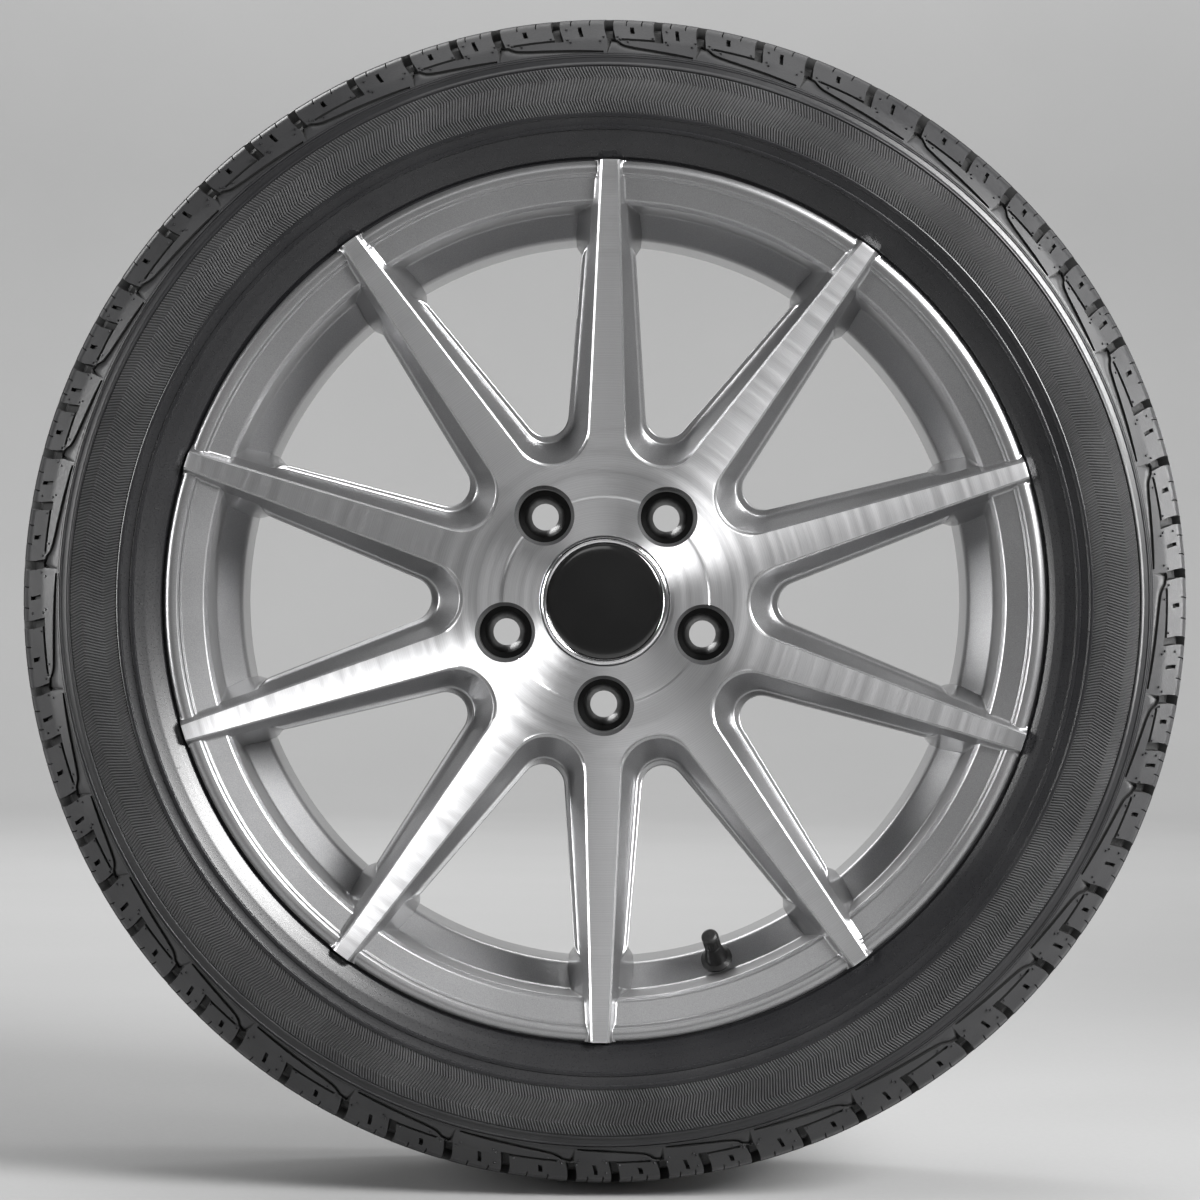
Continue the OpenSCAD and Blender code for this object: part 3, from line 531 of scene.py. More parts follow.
# Copies of one half of a spoke round the axle, as it is and mirrored
def ringOfHalves(rows):
    out = []
    for k in range(star["spokes"]):
        turn = rad(90 + 36 * k)
        c, s = math.cos(turn), math.sin(turn)
        for side in (1, -1):
            x, y = rows[..., 0], rows[..., 1] * side
            out.append(np.stack([x * c - y * s, x * s + y * c, rows[..., 2]], -1).reshape(-1, 3))
    return out


def buildSpokeStar():
    rows, n = spokeRows(), star["faceCols"]
    # The end of the spoke at the lip's outer edge
    tip = rows[-1]
    for dr, dz in ((0.7, 0.1), (1.0, 0.8), (1.0, 6.0)):
        step = tip.copy()
        step[:, :2] *= ((star["lipRadius"] - 1.0 + dr) / np.hypot(tip[:, 0], tip[:, 1]))[:, None]
        step[:, 2] = np.maximum(tip[:, 2] - dz, 114.0)
        rows = np.concatenate([rows, step[None]])
    rings, frontCount = hubRings(rows[0, 0, 0], rows[0, -1, 0])
    hub = np.array([polar(r, rad(18) * np.linspace(0, 1, n + 1), z) for r, z in rings])
    hub = np.concatenate([rows[0, :n + 1][None], hub, rows[0, ::-1][:n + 1][None]])
    (rowCount, colCount), hubCount = rows.shape[:2], hub.shape[0]
    spokeGrid, hubGrid = gridFaces(rowCount, colCount), gridFaces(hubCount, n + 1)
    # Turned alloy on the faces, paint on the rest
    spokeIndex = np.where(np.tile(np.arange(colCount - 1), rowCount - 1) < n, 0, 1)
    hubIndex = np.where(np.repeat(np.arange(hubCount - 1), n) < frontCount, 0, 1)
    end = np.arange((rowCount - 1) * colCount, rowCount * colCount)
    points, faces, index, start = [], [], [], 0
    for a, b in zip(ringOfHalves(rows), ringOfHalves(hub)):
        points += [a, b]
        faces += [*(spokeGrid + start), end + start, *(hubGrid + start + len(a))]
        index += [spokeIndex, [1], hubIndex]
        start += len(a) + len(b)
    mats = [turnedAlloy, silverPaint]
    return addMesh("wheelStar", np.concatenate(points), faces, mats, np.concatenate(index), 28)


# Round cutter in its own frame: origin, direction and section (r, z) from bottom to top
def roundCutter(name, section, place, mats, slots, segments):
    a = np.linspace(0, tau, segments, endpoint=False)[:, None]
    sec = np.array([(0.0, section[0][1])] + list(section) + [(0.0, section[-1][1])])
    pts = polar(sec[None, :, 0], a, sec[None, :, 1]).reshape(-1, 3)
    pts = np.array([place @ Vector(p) for p in pts])
    index = None if slots is None else np.tile(slots, segments)
    return addMesh(name, pts, gridFaces(segments, len(sec), True), mats, index)


pocket = {"circle": 65.0, "radius": 16.5, "mouth": 18.6, "floor": 57.0, "seat": 13.0, "seatDepth": 7.8,
          "hole": 8.5, "holeStart": 30.0, "count": 5}


def cutBoltPockets(obj):
    p, front = pocket, star["hubFront"] - star["recessDepth"]
    section = [(p["hole"], p["holeStart"]), (p["hole"], p["floor"] - p["seatDepth"]), (p["seat"], p["floor"]),
               (p["radius"], p["floor"]), (p["radius"], front - 3.2), (p["radius"] + 0.5, front - 2.2),
               (p["mouth"], front - 0.2), (p["mouth"] + 1.0, front + 4.0)]
    slots = [2, 2, 2, 2, 2, 1, 1, 1, 1]  # near-black inside as painted shade for the pocket's shadow, paint at the mouth
    mats = [turnedAlloy, silverPaint, capBlackAndPocketShade]
    for k in range(p["count"]):
        a = rad(90 + 36 + 72 * k)
        place = Matrix.Translation((p["circle"] * math.cos(a), p["circle"] * math.sin(a), 0))
        cutAway(obj, roundCutter("pocketCutter", section, place, mats, slots, 72))


valve = {"radius": 237.5, "z": 51.06, "angle": -72.0, "lean": 38.0, "wall": 4.5, "hole": 5.75, "recess": 10.9}
valvePlace = (Matrix.Rotation(rad(valve["angle"]), 4, "Z")
              @ Matrix.Translation((valve["radius"], 0, valve["z"]))
              @ Matrix.Rotation(rad(-valve["lean"]), 4, "Y"))


def buildRim():
    rim = spin("wheelRim", rimSection(), [silverPaint], rimSizes["segments"])
    half = valve["wall"] / 2
    recess, hole = valve["recess"], valve["hole"]
    section = [(recess, -14.0 - half), (recess, -half), (hole, -half), (hole, half), (recess, half),
               (recess + 0.6, half + 12)]
    cutAway(rim, roundCutter("valveCutter", section, valvePlace, [silverPaint], None, 64))
    return rim


wheelStar = buildSpokeStar()
cutBoltPockets(wheelStar)
wheelRim = buildRim()
for piece in (wheelStar, wheelRim):
    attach(piece, "root")
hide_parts("wheel")
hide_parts("wheel")
print("wheel built", len(wheelStar.data.polygons), len(wheelRim.data.polygons))

# Tyre. A level k is a share of the section height above the bead seat; places along a pitch are shares of its
# length, clockwise
tyre = {
    "seat": 253.8, "section": 114.95, "halfWidth": 127.5, "crownArc": 480.0, "treadRadius": 368.75,
    "shoulderRadius": 345.0, "outerGroove": 58.0, "outerGrooveEdge": 62.8, "innerGroove": 22.0,
    "grooveHalf": 4.5, "grooveDepth": 8.0, "shoulderEnd": 0.7075, "backShift": 5.0,
    "pitchOrder": (9, 11, 12.3, 11, 9, 9, 12.3, 11, 12.3, 9, 11), "pitchRounds": 3,
    "columnGap": 3.6, "cutLip": 0.3,
    # place along the pitch and half width
    "mainGroove": (0.0, 2.8), "halfGroove": (0.53, 2.6), "slotA": (0.25, 1.3), "slotB": (0.74, 1.15),
    "edgeSipes": (0.19, 0.355, 0.665, 0.83), "edgeSipeHalf": 0.35, "footLength": 0.40,
    # cuts over the crown's edge with their depth, later ones on top
    "crownCuts": (("edgeSipe", 3.0), ("halfGroove", 5.6), ("mainGroove", 7.2)),
    # cuts down the side: from k, to k, depth at some levels
    "sideCuts": (("edgeSipe", 0.8843, 1.0, ((0.9, 2.4),)),
                 ("slotA", 0.8365, 0.875, ((0.9, 2.8),)),
                 ("slotB", 0.8155, 0.875, ((0.9, 2.8),)),
                 ("foot", 0.8, 0.805, ((0.9, 1.9),)),
                 ("halfGroove", 0.7905, 1.0, ((0.79, 3.0), (0.83, 4.2), (0.9, 5.6))),
                 ("mainGroove", 0.801, 1.0, ((0.8, 4.2), (0.84, 5.4), (0.9, 7.2)))),
    # hook: place along the pitch and level k
    "hook": ((0.0, 0.7905), (0.06, 0.787), (0.085, 0.776), (0.12, 0.764), (0.16, 0.757), (0.27, 0.7475),
             (0.47, 0.7375), (0.72, 0.7285), (0.93, 0.7215)),
    "hookHalf": 1.2, "hookDepth": 1.7, "hookEnd": 0.93, "tailDepth": (4.0, 1.9),
    "blockSipes": (0.27, 0.52, 0.77), "blockSipeDepth": 5.5,
    "ribs": 1080, "backRibs": 720, "ribHeight": 1.1, "ribFoot": 0.75,
    # spew stubs: place along the pitch and level k
    "stubs": ((0.07, 0.838), (0.10, 0.80), (0.185, 0.786), (0.455, 0.836), (0.60, 0.842), (0.605, 0.80),
              (0.63, 0.768), (0.93, 0.836), (0.90, 0.79)),
}


def mmAround(r):  # mm per degree on a circle
    return tau * r / 360


def crownR(z):
    return tyre["treadRadius"] - np.asarray(z, float) ** 2 / (2 * tyre["crownArc"])


def sidePoint(k, inset):
    return tyre["seat"] + k * tyre["section"], tyre["halfWidth"] - inset


# Outline of the shoulder from the outer groove down to the rib band
def shoulderProfile():
    corners = [(float(crownR(z)), z) for z in (55, 66, 76, 85)]
    corners += [(*sidePoint(0.9262, 35.0), 7), (*sidePoint(0.904, 25.6), 9), (*sidePoint(0.863, 21.3), 12),
                (*sidePoint(0.80, 14.6), 30), (*sidePoint(0.735, 9.4), 30), sidePoint(0.695, 6.6)]
    return roundedSection(corners, False, 8)


shoulderLine = shoulderProfile()
sideStart = int(np.argmax(shoulderLine[:, 1] > 92))


# Start and length of each pitch in degrees
def pitchStarts():
    order = np.array(tyre["pitchOrder"] * tyre["pitchRounds"], float)
    lengths = order * 360 / order.sum()
    return np.concatenate([[0], np.cumsum(lengths)[:-1]]), lengths


# Columns of one pitch in mm from the main groove's middle, close together at the edges of each cut
def pitchColumns(length):
    t, lip = tyre, tyre["cutLip"]

    def edges(middle, half, step):
        return [middle - half, middle - half + step, middle + half - step, middle + half]

    hits = [0.0]
    for name in ("mainGroove", "halfGroove", "slotA", "slotB"):
        hits += edges(t[name][0] * length, t[name][1], lip)
    for place in t["edgeSipes"]:
        hits += edges(place * length, t["edgeSipeHalf"], lip / 2)
    nextGroove = length - t["mainGroove"][1]
    footStart = t["halfGroove"][0] * length - t["halfGroove"][1] - t["footLength"] * length
    hookEnd = t["hookEnd"] * length
    hits += [nextGroove, nextGroove + lip, footStart, footStart + lip, hookEnd - lip, hookEnd]
    hits += [t["mainGroove"][1] + x for x in (0.7, 1.5, 2.5, 3.8, 5.5, 7.5)]  # the hook's steep start
    out = []
    for h in sorted(h for h in hits if 0 <= h < length - 0.05):
        if out and h - out[-1] < 0.1:
            continue
        if out and h - out[-1] > t["columnGap"]:
            n = int(math.ceil((h - out[-1]) / t["columnGap"]))
            out += [out[-1] + (h - out[-1]) * j / n for j in range(1, n)]
        out.append(h)
    return np.array(out)


# Every column of the shoulder: mm along its pitch, the pitch's length in mm, clock angle
def shoulderColumns():
    starts, lengths = pitchStarts()
    toMm = mmAround(tyre["shoulderRadius"])
    x = [pitchColumns(length * toMm) for length in lengths]
    size = np.concatenate([np.full(len(cols), length * toMm) for cols, length in zip(x, lengths)])
    start = np.concatenate([np.full(len(cols), a) for cols, a in zip(x, starts)])
    x = np.concatenate(x)
    return x, size, start + x / toMm


# Which columns each groove, slot, sipe, foot and hook takes in
def shoulderCuts(x, size):
    t, lip = tyre, tyre["cutLip"]

    def near(place, half, edge):
        d = np.abs(x - place * size)
        if place == 0:
            d = np.minimum(d, np.abs(x - size))
        return d <= half - edge + 0.01

    cuts = {name: near(*t[name], lip) for name in ("mainGroove", "halfGroove", "slotA", "slotB")}
    cuts["edgeSipe"] = np.any([near(place, t["edgeSipeHalf"], lip / 2) for place in t["edgeSipes"]], axis=0)
    groove = t["halfGroove"][0] * size - t["halfGroove"][1]
    cuts["foot"] = (x >= groove - t["footLength"] * size + lip - 0.01) & (x <= groove + 1.0)
    cuts["hook"] = x <= t["hookEnd"] * size - lip + 0.01
    cuts["tail"] = cuts["mainGroove"] & (x < 0.5 * size)
    return cuts


# Rows over the crown's edge, each (radii, z, clock angles, depths), from the outer groove's floor
def crownEdgeRows(x, clock, cuts):
    t, (r, z) = tyre, shoulderLine.T
    edge, n = t["outerGrooveEdge"], sideStart + 2
    levels = [t["outerGroove"], edge - 1.3, edge - 0.25, edge + 0.3, 66, 70, 74, 78, 82, 85.5, 88.5, 91.5, 94]
    rows = []
    for j, level in enumerate(levels):
        depth = np.zeros(len(x))
        if j < 2:
            radius = np.interp(edge, z, r) - t["grooveDepth"]
        else:
            radius = np.interp(level, z[:n], r[:n])
            for name, deep in t["crownCuts"]:
                depth = np.where(cuts[name], deep, depth)
        if j == 2:  # bevel of the outer groove
            radius, depth = radius - 0.5, np.maximum(depth - 0.5, 0)
        lean = np.interp(level, [58, 80, 94], [2.2, 0.5, -0.15])
        outward = np.interp(level, [58, 88, 94], [0.08, 0.2, 0.35])  # the normal turns toward the side
        rows.append((radius - depth * math.sqrt(1 - outward ** 2), level - depth * outward, clock + lean,
                     np.full(len(x), 9.0) if j < 2 else depth))
    return rows


# Top and bottom edge of the hook's groove at each column
def hookEdges(x, size, clock):
    t = tyre
    k = np.interp(x / size, *zip(*t["hook"]))
    slope = np.abs(np.gradient(k, clock)) * t["section"] / mmAround(t["shoulderRadius"])
    half = t["hookHalf"] * np.sqrt(1 + np.minimum(slope, 0.9) ** 2) / t["section"]
    return k + half, k - half


# Rows down the side: fixed levels first, pushed up where the hook needs room, then rows that follow the hook
def sideRows(x, size, clock, cuts):
    t = tyre
    top, bottom = hookEdges(x, size, clock)
    fixed = [0.921, 0.913, 0.904, 0.895, 0.8855, 0.884, 0.8752, 0.8728, 0.862, 0.850, 0.8384, 0.836, 0.828,
             0.8174, 0.815, 0.8095, 0.806, 0.8036, 0.8025, 0.8005, 0.7925, 0.790]
    levels = [np.maximum(k, top + 0.0006 * (len(fixed) - j)) if k < 0.807 else np.full(len(x), k)
              for j, k in enumerate(fixed)]
    levels += [levels[-1] + (top - levels[-1]) * share for share in (0.3, 0.6, 0.85)]
    topRow = len(levels)
    levels += [top, top - t["cutLip"] / t["section"], bottom, (bottom + t["shoulderEnd"]) / 2,
               np.full(len(x), t["shoulderEnd"])]
    line = shoulderLine[sideStart:][::-1]
    tangent = np.gradient(shoulderLine, axis=0)
    tangent /= np.linalg.norm(tangent, axis=1, keepdims=True)
    tangent = tangent[sideStart:][::-1]
    rows = []
    for j, k in enumerate(levels):
        radius = t["seat"] + k * t["section"]
        depth = np.zeros(len(x))
        for name, low, high, table in t["sideCuts"]:
            if j < len(fixed) and low < fixed[j] < high:
                depth = np.where(cuts[name], np.interp(fixed[j], *zip(*table)), depth)
        if j == topRow + 1:
            depth = np.where(cuts["hook"], t["hookDepth"], 0.0)
        if topRow - 6 < j <= topRow:
            depth = np.where(cuts["tail"], np.interp(j, [topRow - 6, topRow], t["tailDepth"]), depth)
        lean = np.interp(k, [0.72, 0.80, 0.86, 0.90, 0.921], [0.0, 0.0, -0.25, -0.3, -0.2])
        inward = depth * np.interp(radius, line[:, 0], tangent[:, 1])
        sideways = depth * np.interp(radius, line[:, 0], -tangent[:, 0])
        z = np.interp(radius, line[:, 0], line[:, 1]) - sideways
        rows.append((radius - inward, z, clock + lean, depth))
    return rows


# One shoulder of the tread with its grooves, slots, feet and hooks
def buildShoulder(name, side, shift):
    x, size, clock = shoulderColumns()
    cuts = shoulderCuts(x, size)
    rows = np.array(crownEdgeRows(x, clock, cuts) + sideRows(x, size, clock, cuts))
    radii, levels, clocks, depths = rows.transpose(1, 0, 2)
    points = polar(radii, np.radians(90 - clocks - shift), levels * side)
    faces = gridFaces(*depths.shape, False, True)
    # faces in cuts deeper than 1.2 mm take the darker rubber as painted shade
    deep = depths.reshape(-1)[faces].max(1) > 1.2
    return addMesh(name, points.reshape(-1, 3), faces, [treadRubber, grooveShadeAndLinerRubber], deep.astype(int), 38)


# Three rows of blocks round the middle of the tread, with thin slanted cuts
def buildCrown():
    t = tyre
    toMm = mmAround(365.0)
    clock, cut = [], []
    for start, length in zip(*pitchStarts()):
        sipes = [0.0] + [share * length * toMm for share in t["blockSipes"]]
        cols = [s + step for s in sipes for step in (0.0, 0.2, 0.8, 1.0)]
        cols += [share * length * toMm
                 for share in (0.08, 0.15, 0.21, 0.33, 0.4, 0.46, 0.58, 0.65, 0.71, 0.83, 0.9, 0.95)]
        for x in sorted(cols):
            clock.append(start + x / toMm)
            cut.append(any(abs(x - s - 0.5) < 0.31 for s in sipes))
    clock, cut = np.array(clock), np.array(cut)
    outer, inner = t["outerGroove"], t["innerGroove"]
    rows = []  # z, radius, whether it is a groove's floor, whether the thin cuts reach it
    for low, high in ((-outer, -inner), (-inner, inner), (inner, outer)):
        edgeLow, edgeHigh = low + t["grooveHalf"], high - t["grooveHalf"]
        floorLow, floorHigh = crownR(low) - t["grooveDepth"], crownR(high) - t["grooveDepth"]
        topLow, topHigh = crownR(edgeLow), crownR(edgeHigh)
        rows += [(low, floorLow, True, False), (edgeLow - 1.0, floorLow, True, False),
                 (edgeLow, topLow - 0.5, False, False), (edgeLow + 0.5, topLow, False, False)]
        rows += [(z, crownR(z), False, True) for z in np.linspace(edgeLow, edgeHigh, 9)[1:-1]]
        rows += [(edgeHigh - 0.5, topHigh, False, False), (edgeHigh, topHigh - 0.5, False, False),
                 (edgeHigh + 1.0, floorHigh, True, False), (high, floorHigh, True, False)]
    points, deep = [], []
    for z, radius, isFloor, hasCuts in rows:
        depth = np.where(cut & hasCuts, t["blockSipeDepth"], 0.0)
        lean = 0.10 * (z if abs(z) < 20 else math.copysign(abs(z) - 10, -z))
        points.append(polar(radius - depth, np.radians(90 - clock - lean), z))
        deep.append((depth > 0) | isFloor)
    faces = gridFaces(len(rows), len(clock), False, True)
    # groove floors and thin cuts take the darker rubber as painted shade
    index = np.array(deep).reshape(-1)[faces].max(1).astype(int)
    mats = [treadRubber, grooveShadeAndLinerRubber]
    return addMesh("tyreCrown", np.array(points).reshape(-1, 3), faces, mats, index, 38)


# Sidewall: surface of the rib band, then the thin lines over it and the bead under it
sidewall = {
    "surface": ((272.6, 115.3), (276.8, 118.1), (282.0, 120.9), (288.3, 123.6), (292.0, 124.7),
                (296.0, 125.9), (300.0, 126.75), (305.0, 127.1), (310.0, 127.05), (315.0, 126.5),
                (320.0, 125.6), (325.0, 124.3), (329.0, 123.0), (333.0, 121.4), (335.5, 119.9)),
    # radius, share of the full rib height, how far the ribs have turned there in mm, clockwise
    "ribLevels": ((297.9, 0, 0), (298.2, 0.8, 0), (301, 1, -1.1), (304.2, 1, -2.2), (307, 1, -3.2),
                  (310.4, 1, -2.2), (313.8, 1, -1.1), (317.2, 1, 0), (320.4, 1, 0.9), (322.8, 1, -0.2),
                  (325.2, 1, -1.3), (327.4, 1, -2.3), (327.7, 0, -2.4)),
    # corners (radius, z, rounding)
    "lines": ((336.9, 117.9), (336.6, 119.4, 0.2), (336.0, 119.7, 0.2), (335.7, 119.3, 0.2),
              (334.9, 119.7, 0.2), (334.3, 121.1, 0.3), (333.7, 121.2, 0.3), (333.4, 120.7, 0.2),
              (330.6, 121.9, 0.3), (329.3, 123.4, 0.4), (328.5, 123.6, 0.3), (328.2, 122.8, 0.2),
              (327.0, 122.5)),
    "bead": ((298.6, 125.1), (299.2, 127.0, 0.3), (298.4, 127.4, 0.4), (296.9, 127.2, 0.4),
             (296.2, 126.2, 0.3), (293.5, 125.2, 2), (291.5, 124.5, 0.3), (291.05, 125.25, 0.3),
             (289.2, 125.05, 0.3), (288.6, 123.8, 0.3), (282.0, 121.0, 14), (276.6, 118.0, 8),
             (273.2, 115.7, 1.0), (271.95, 113.4, 0.5)),
    # middle (r, z) and radius
    "curl": (261.7, 117.45, 9.6), "heel": (259.83, 101.35, 6.5),
    "beadFoot": ((252.1, 87.55, 0.6), (253.6, 86.3, 0.8), (259.5, 87.9, 5), (268.7, 97.9, 8)),
    "lining": ((268.7, 97.9), (280.2, 109.0, 10), (291.7, 116.1, 14), (305.5, 119.5, 20),
               (322.8, 116.9, 20), (335.4, 108.5, 20), (345.8, 94.5, 20), (350.9, 78.0, 20),
               (352.1, 40.0, 60), (353.2, 0.0, 200)),
}


def wallZ(r):
    return np.interp(r, *zip(*sidewall["surface"]))


# Fine ribs round the sidewall, in bands of slightly different direction
def buildRibBand(name, side, ribs):
    levels = sidewall["ribLevels"]
    clock = np.arange(2 * ribs) * 180.0 / ribs
    high = np.tile([1.0, 0.0], ribs)
    points = []
    for r, share, turn in levels:
        z = wallZ(r) - tyre["ribFoot"] + tyre["ribHeight"] * high * share
        points.append(polar(r, np.radians(90 - clock - turn / mmAround(r)), z * side))
    faces = gridFaces(len(levels), len(clock), False, True)
    # the ribs take the lighter rubber as painted sheen
    return addMesh(name, np.array(points).reshape(-1, 3), faces, [ribSheenRubber], None, 12)


def buildSidewallRings(side):
    w, out = sidewall, []
    bead = [*w["bead"], *arc(w["curl"], -26, -90, 5), *arc(w["heel"], 90, 180, 5), *w["beadFoot"]]
    for name, corners, surface in (("tyreLines", w["lines"], wallRubber), ("tyreBead", bead, beadRubber)):
        section = roundedSection([(c[0], c[1] * side, *c[2:]) for c in corners], False, 4)
        out.append(spin(name + ("Front" if side > 0 else "Back"), section, [surface], 360, 38, None, False))
    return out


def buildLining():
    half = sidewall["lining"]
    corners = [*half] + [(r, -z, *c) for r, z, *c in half[-2::-1]]
    return spin("tyreLining", roundedSection(corners, False, 4), [grooveShadeAndLinerRubber], 180, 38, None, False)


# Spew stubs left by the mould's vents
def buildStubs():
    r, z = shoulderLine.T
    points, faces = [], []
    for start, length in zip(*pitchStarts()):
        for place, k in tyre["stubs"]:
            i = np.argmin(np.hypot(r - sidePoint(k, 0)[0], (z < 92) * 50.0))
            along = shoulderLine[i + 1] - shoulderLine[i - 1]
            nr, nz = np.array([along[1], -along[0]]) / np.linalg.norm(along)
            turn = rad(90 - start - place * length)
            out = np.array([nr * math.cos(turn), nr * math.sin(turn), nz])
            side = np.array([-math.sin(turn), math.cos(turn), 0.0])
            up = np.cross(out, side)
            foot = np.array([r[i] * math.cos(turn), r[i] * math.sin(turn), z[i]])
            n = len(points)
            for lift, size in ((-0.3, 0.85), (0.9, 0.6)):
                points += [foot + out * lift + size * (side * cosd(q) + up * sind(q))
                           for q in range(0, 360, 45)]
            faces += [(n + q, n + (q + 1) % 8, n + 8 + (q + 1) % 8, n + 8 + q) for q in range(8)]
            faces += [tuple(range(n + 8, n + 16)), tuple(range(n + 7, n - 1, -1))]
    return addMesh("tyreStubs", np.array(points), faces, [wallRubber], None, 40)


# Small raised bars on the bead: middle radius, clock angle, size along the radius and round it, height
def buildTicks():
    bars = [(297.7, 7.0 + 30 * i, 2.6, 0.7, 0.55) for i in range(12)]
    bars += [(290.0, 22.0 + 30 * i, 2.6, 0.7, 0.55) for i in range(12)]
    bars += [(284.0 - 3.4 * (i % 2), 11.0 + 18 * i + 3 * (i % 3), 2.2, 0.9, 0.5) for i in range(20)]
    points, faces = [], []
    for middle, clock, deep, wide, high in bars:
        c, s, n = sind(clock), cosd(clock), len(points)
        for lift in (-0.6, high):
            for dr, dt in ((-0.5, -0.5), (0.5, -0.5), (0.5, 0.5), (-0.5, 0.5)):
                r, across = middle + dr * deep, dt * wide
                points.append((r * c - across * s, r * s + across * c, min(float(wallZ(r)) + lift, 127.4)))
        faces += [(n, n + 3, n + 2, n + 1), (n + 4, n + 5, n + 6, n + 7)]
        faces += [(n + q, n + (q + 1) % 4, n + 4 + (q + 1) % 4, n + 4 + q) for q in range(4)]
    return addMesh("tyreTicks", np.array(points), faces, [wallRubber], None, 40)


tyrePieces = [
    buildShoulder("tyreShoulderFront", 1, 0.0), buildShoulder("tyreShoulderBack", -1, tyre["backShift"]),
    buildCrown(), buildRibBand("tyreRibsFront", 1, tyre["ribs"]),
    buildRibBand("tyreRibsBack", -1, tyre["backRibs"]), buildLining(), buildStubs(), buildTicks(),
    *buildSidewallRings(1), *buildSidewallRings(-1)]
for piece in tyrePieces:
    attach(piece, "root")
    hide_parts("tyre")
print("tyre built", [(p.name, len(p.data.polygons)) for p in tyrePieces])

# Centre cap
cap = {"discRadius": 36.15, "discFoot": 82.9, "discTop": 87.4, "discRise": 87.35, "discDrop": 0.88,
       "ring": ((36.4, 82.9), (36.4, 86.6, 0.7), (38.0, 87.4, 1.0), (39.7, 86.4, 1.2), (39.7, 82.9))}


def buildCapDisc():
    c = cap
    dome = [(r, c["discRise"] - c["discDrop"] * (r / c["discRadius"]) ** 2) for r in (6, 12, 18, 24, 29, 33)]
    section = [(0.02, c["discFoot"]), (0.02, c["discTop"]), *dome, (35.4, 86.2), (36.0, 85.8),
               (c["discRadius"], 85.2), (c["discRadius"], c["discFoot"])]
    return spin("capDisc", np.array(section), [glossBlack], 180, 40)


def buildCapRing():
    return spin("capRing", roundedSection(cap["ring"], True, 6), [brightTrim], 240, 40)


capDisc, capRing = buildCapDisc(), buildCapRing()
for piece, node, slot in ((capDisc, "cap_disc", "black_plastic"), (capRing, "cap_trim_ring", "bright_trim")):
    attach(piece, "root")
    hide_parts(node)
print("cap built")

# Studio: round pale floor, soft lights, camera at the photo's place
studio = {
    "floorZ": -0.3692, "floorColour": (0.34, 0.34, 0.34), "wallRadius": 5.6, "wallTop": 4.5,
    "sweepRadius": 1.2, "floorStart": 1.5, "floorTurns": 96,
    "lens": 122.16, "distance": 2.618, "shiftX": -0.0031, "shiftZ": 0.0006, "roll": 0.65,
    # place, target, size in metres, watts, spread in degrees
    "key": ((1.8, -1.6, 1.25), (0.0, 0.0, 0.0), (1.2, 1.2), 29.0, 70.0),
    "leftStrip": ((-2.3, -0.9, 0.3), (0.0, 0.0, 0.0), (0.4, 1.6), 13.0, 90.0),
    "rightStrip": ((2.3, 0.25, 0.1), (0.0, 0.0, 0.0), (0.4, 1.6), 11.0, 90.0),
    "front": ((-0.4, -3.2, 1.2), (0.0, 0.0, 0.0), (1.0, 1.0), 0.4, 60.0),
    "top": ((0.0, 0.3, 3.3), (0.0, 0.4, 0.0), (2.6, 2.0), 30.0, 180.0),
    "back": ((-1.4, 2.6, 1.9), (0.0, 0.0, 0.1), (1.4, 1.4), 26.0, 180.0),
    "backdrop": ((0.0, 2.6, 3.4), (0.0, 5.4, 0.4), (3.0, 1.0), 210.0, 180.0),
    "behindCamera": ((0.0, -3.6, 3.4), (0.0, -5.6, 0.6), (3.0, 1.0), 16.0, 180.0),
    "world": 0.03, "look": "Standard", "exposure": 0.12,
}


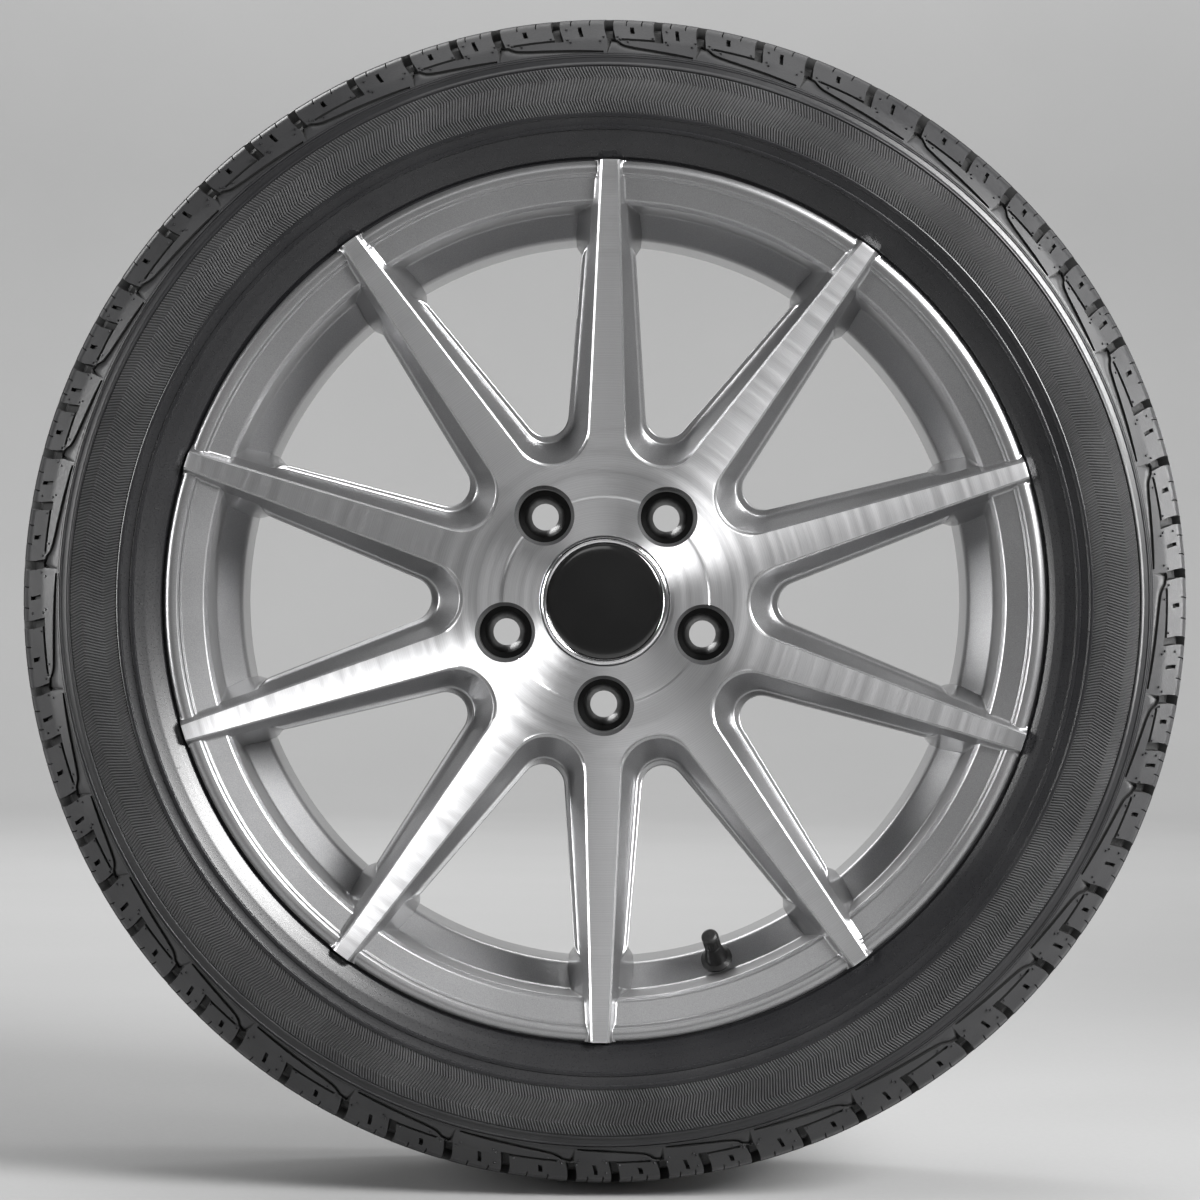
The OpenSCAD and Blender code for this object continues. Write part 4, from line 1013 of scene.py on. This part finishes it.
# Round floor with a wall all round it, joined by a sweep
def buildFloor():
    s = studio
    edge, low, sweep = s["wallRadius"], s["floorZ"], s["sweepRadius"]
    profile = [(s["floorStart"], low), (edge - sweep, low)]
    profile += [(edge - sweep * (1 - sind(a)), low + sweep * (1 - cosd(a))) for a in range(6, 91, 6)]
    profile.append((edge, s["wallTop"]))
    n, turns = len(profile), s["floorTurns"]
    verts = [(r * math.cos(tau * i / turns), r * math.sin(tau * i / turns), z)
             for i in range(turns) for r, z in profile]
    faces = [(i * n + j, i * n + j + 1, (i + 1) % turns * n + j + 1, (i + 1) % turns * n + j)
             for i in range(turns) for j in range(n - 1)]
    faces.append([i * n for i in range(turns)])
    mesh = bpy.data.meshes.new("floor")
    mesh.from_pydata(verts, [], faces)
    mesh.shade_smooth()
    mat, nodes, links = newMaterial("paleFloor")
    grain = placeGroup(nodes, grainGroup, Fine_scale=300.0, Broad_scale=3.0)
    shader = finishShader(nodes, links)
    dark = tuple(x * 0.97 for x in s["floorColour"])
    linkFinish(nodes, links, shader, grain, ("Broad", dark, s["floorColour"]), ("Fine", 0.75, 0.85))
    mesh.materials.append(mat)
    floor = bpy.data.objects.new("floor", mesh)
    bpy.context.scene.collection.objects.link(floor)


def addLight(name, place, target, size, watts, spread):
    data = bpy.data.lights.new(name, "AREA")
    data.shape, data.size, data.size_y, data.energy = "RECTANGLE", size[0], size[1], watts
    data.spread = rad(spread)
    light = bpy.data.objects.new(name, data)
    light.location = place
    light.visible_camera = False
    light.rotation_euler = (Vector(target) - Vector(place)).to_track_quat("-Z", "Y").to_euler()
    bpy.context.scene.collection.objects.link(light)


def buildStudio():
    s = studio
    buildFloor()
    for name in ("key", "leftStrip", "rightStrip", "front", "top", "back", "backdrop", "behindCamera"):
        addLight(name, *s[name])
    world = bpy.data.worlds.new("studio")
    world.use_nodes = True
    world.node_tree.nodes["Background"].inputs["Color"].default_value = (1, 1, 1, 1)
    world.node_tree.nodes["Background"].inputs["Strength"].default_value = s["world"]
    bpy.context.scene.world = world
    bpy.context.scene.view_settings.view_transform = s["look"]
    bpy.context.scene.view_settings.exposure = s["exposure"]
    data = bpy.data.cameras.new("camera")
    data.lens, data.sensor_width, data.clip_end = s["lens"], 36.0, 50.0
    camera = bpy.data.objects.new("camera", data)
    place = Matrix.Translation((s["shiftX"], -s["distance"], s["shiftZ"]))
    camera.matrix_world = place @ Matrix.Rotation(rad(90), 4, "X") @ Matrix.Rotation(rad(s["roll"]), 4, "Z")
    bpy.context.scene.collection.objects.link(camera)
    bpy.context.scene.camera = camera


buildStudio()
print("studio ready")

# The solids that are kept from the frame
keptSurface = {"cap_body": capBlackAndPocketShade, "cap_spring": springSteel, "valve_body": valveRubber,
               "valve_stem": stemBrass, "valve_core": stemBrass, "valve_cap": valveRubber}
for node, mat in keptSurface.items():
    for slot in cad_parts[node].material_slots:
        slot.material = mat
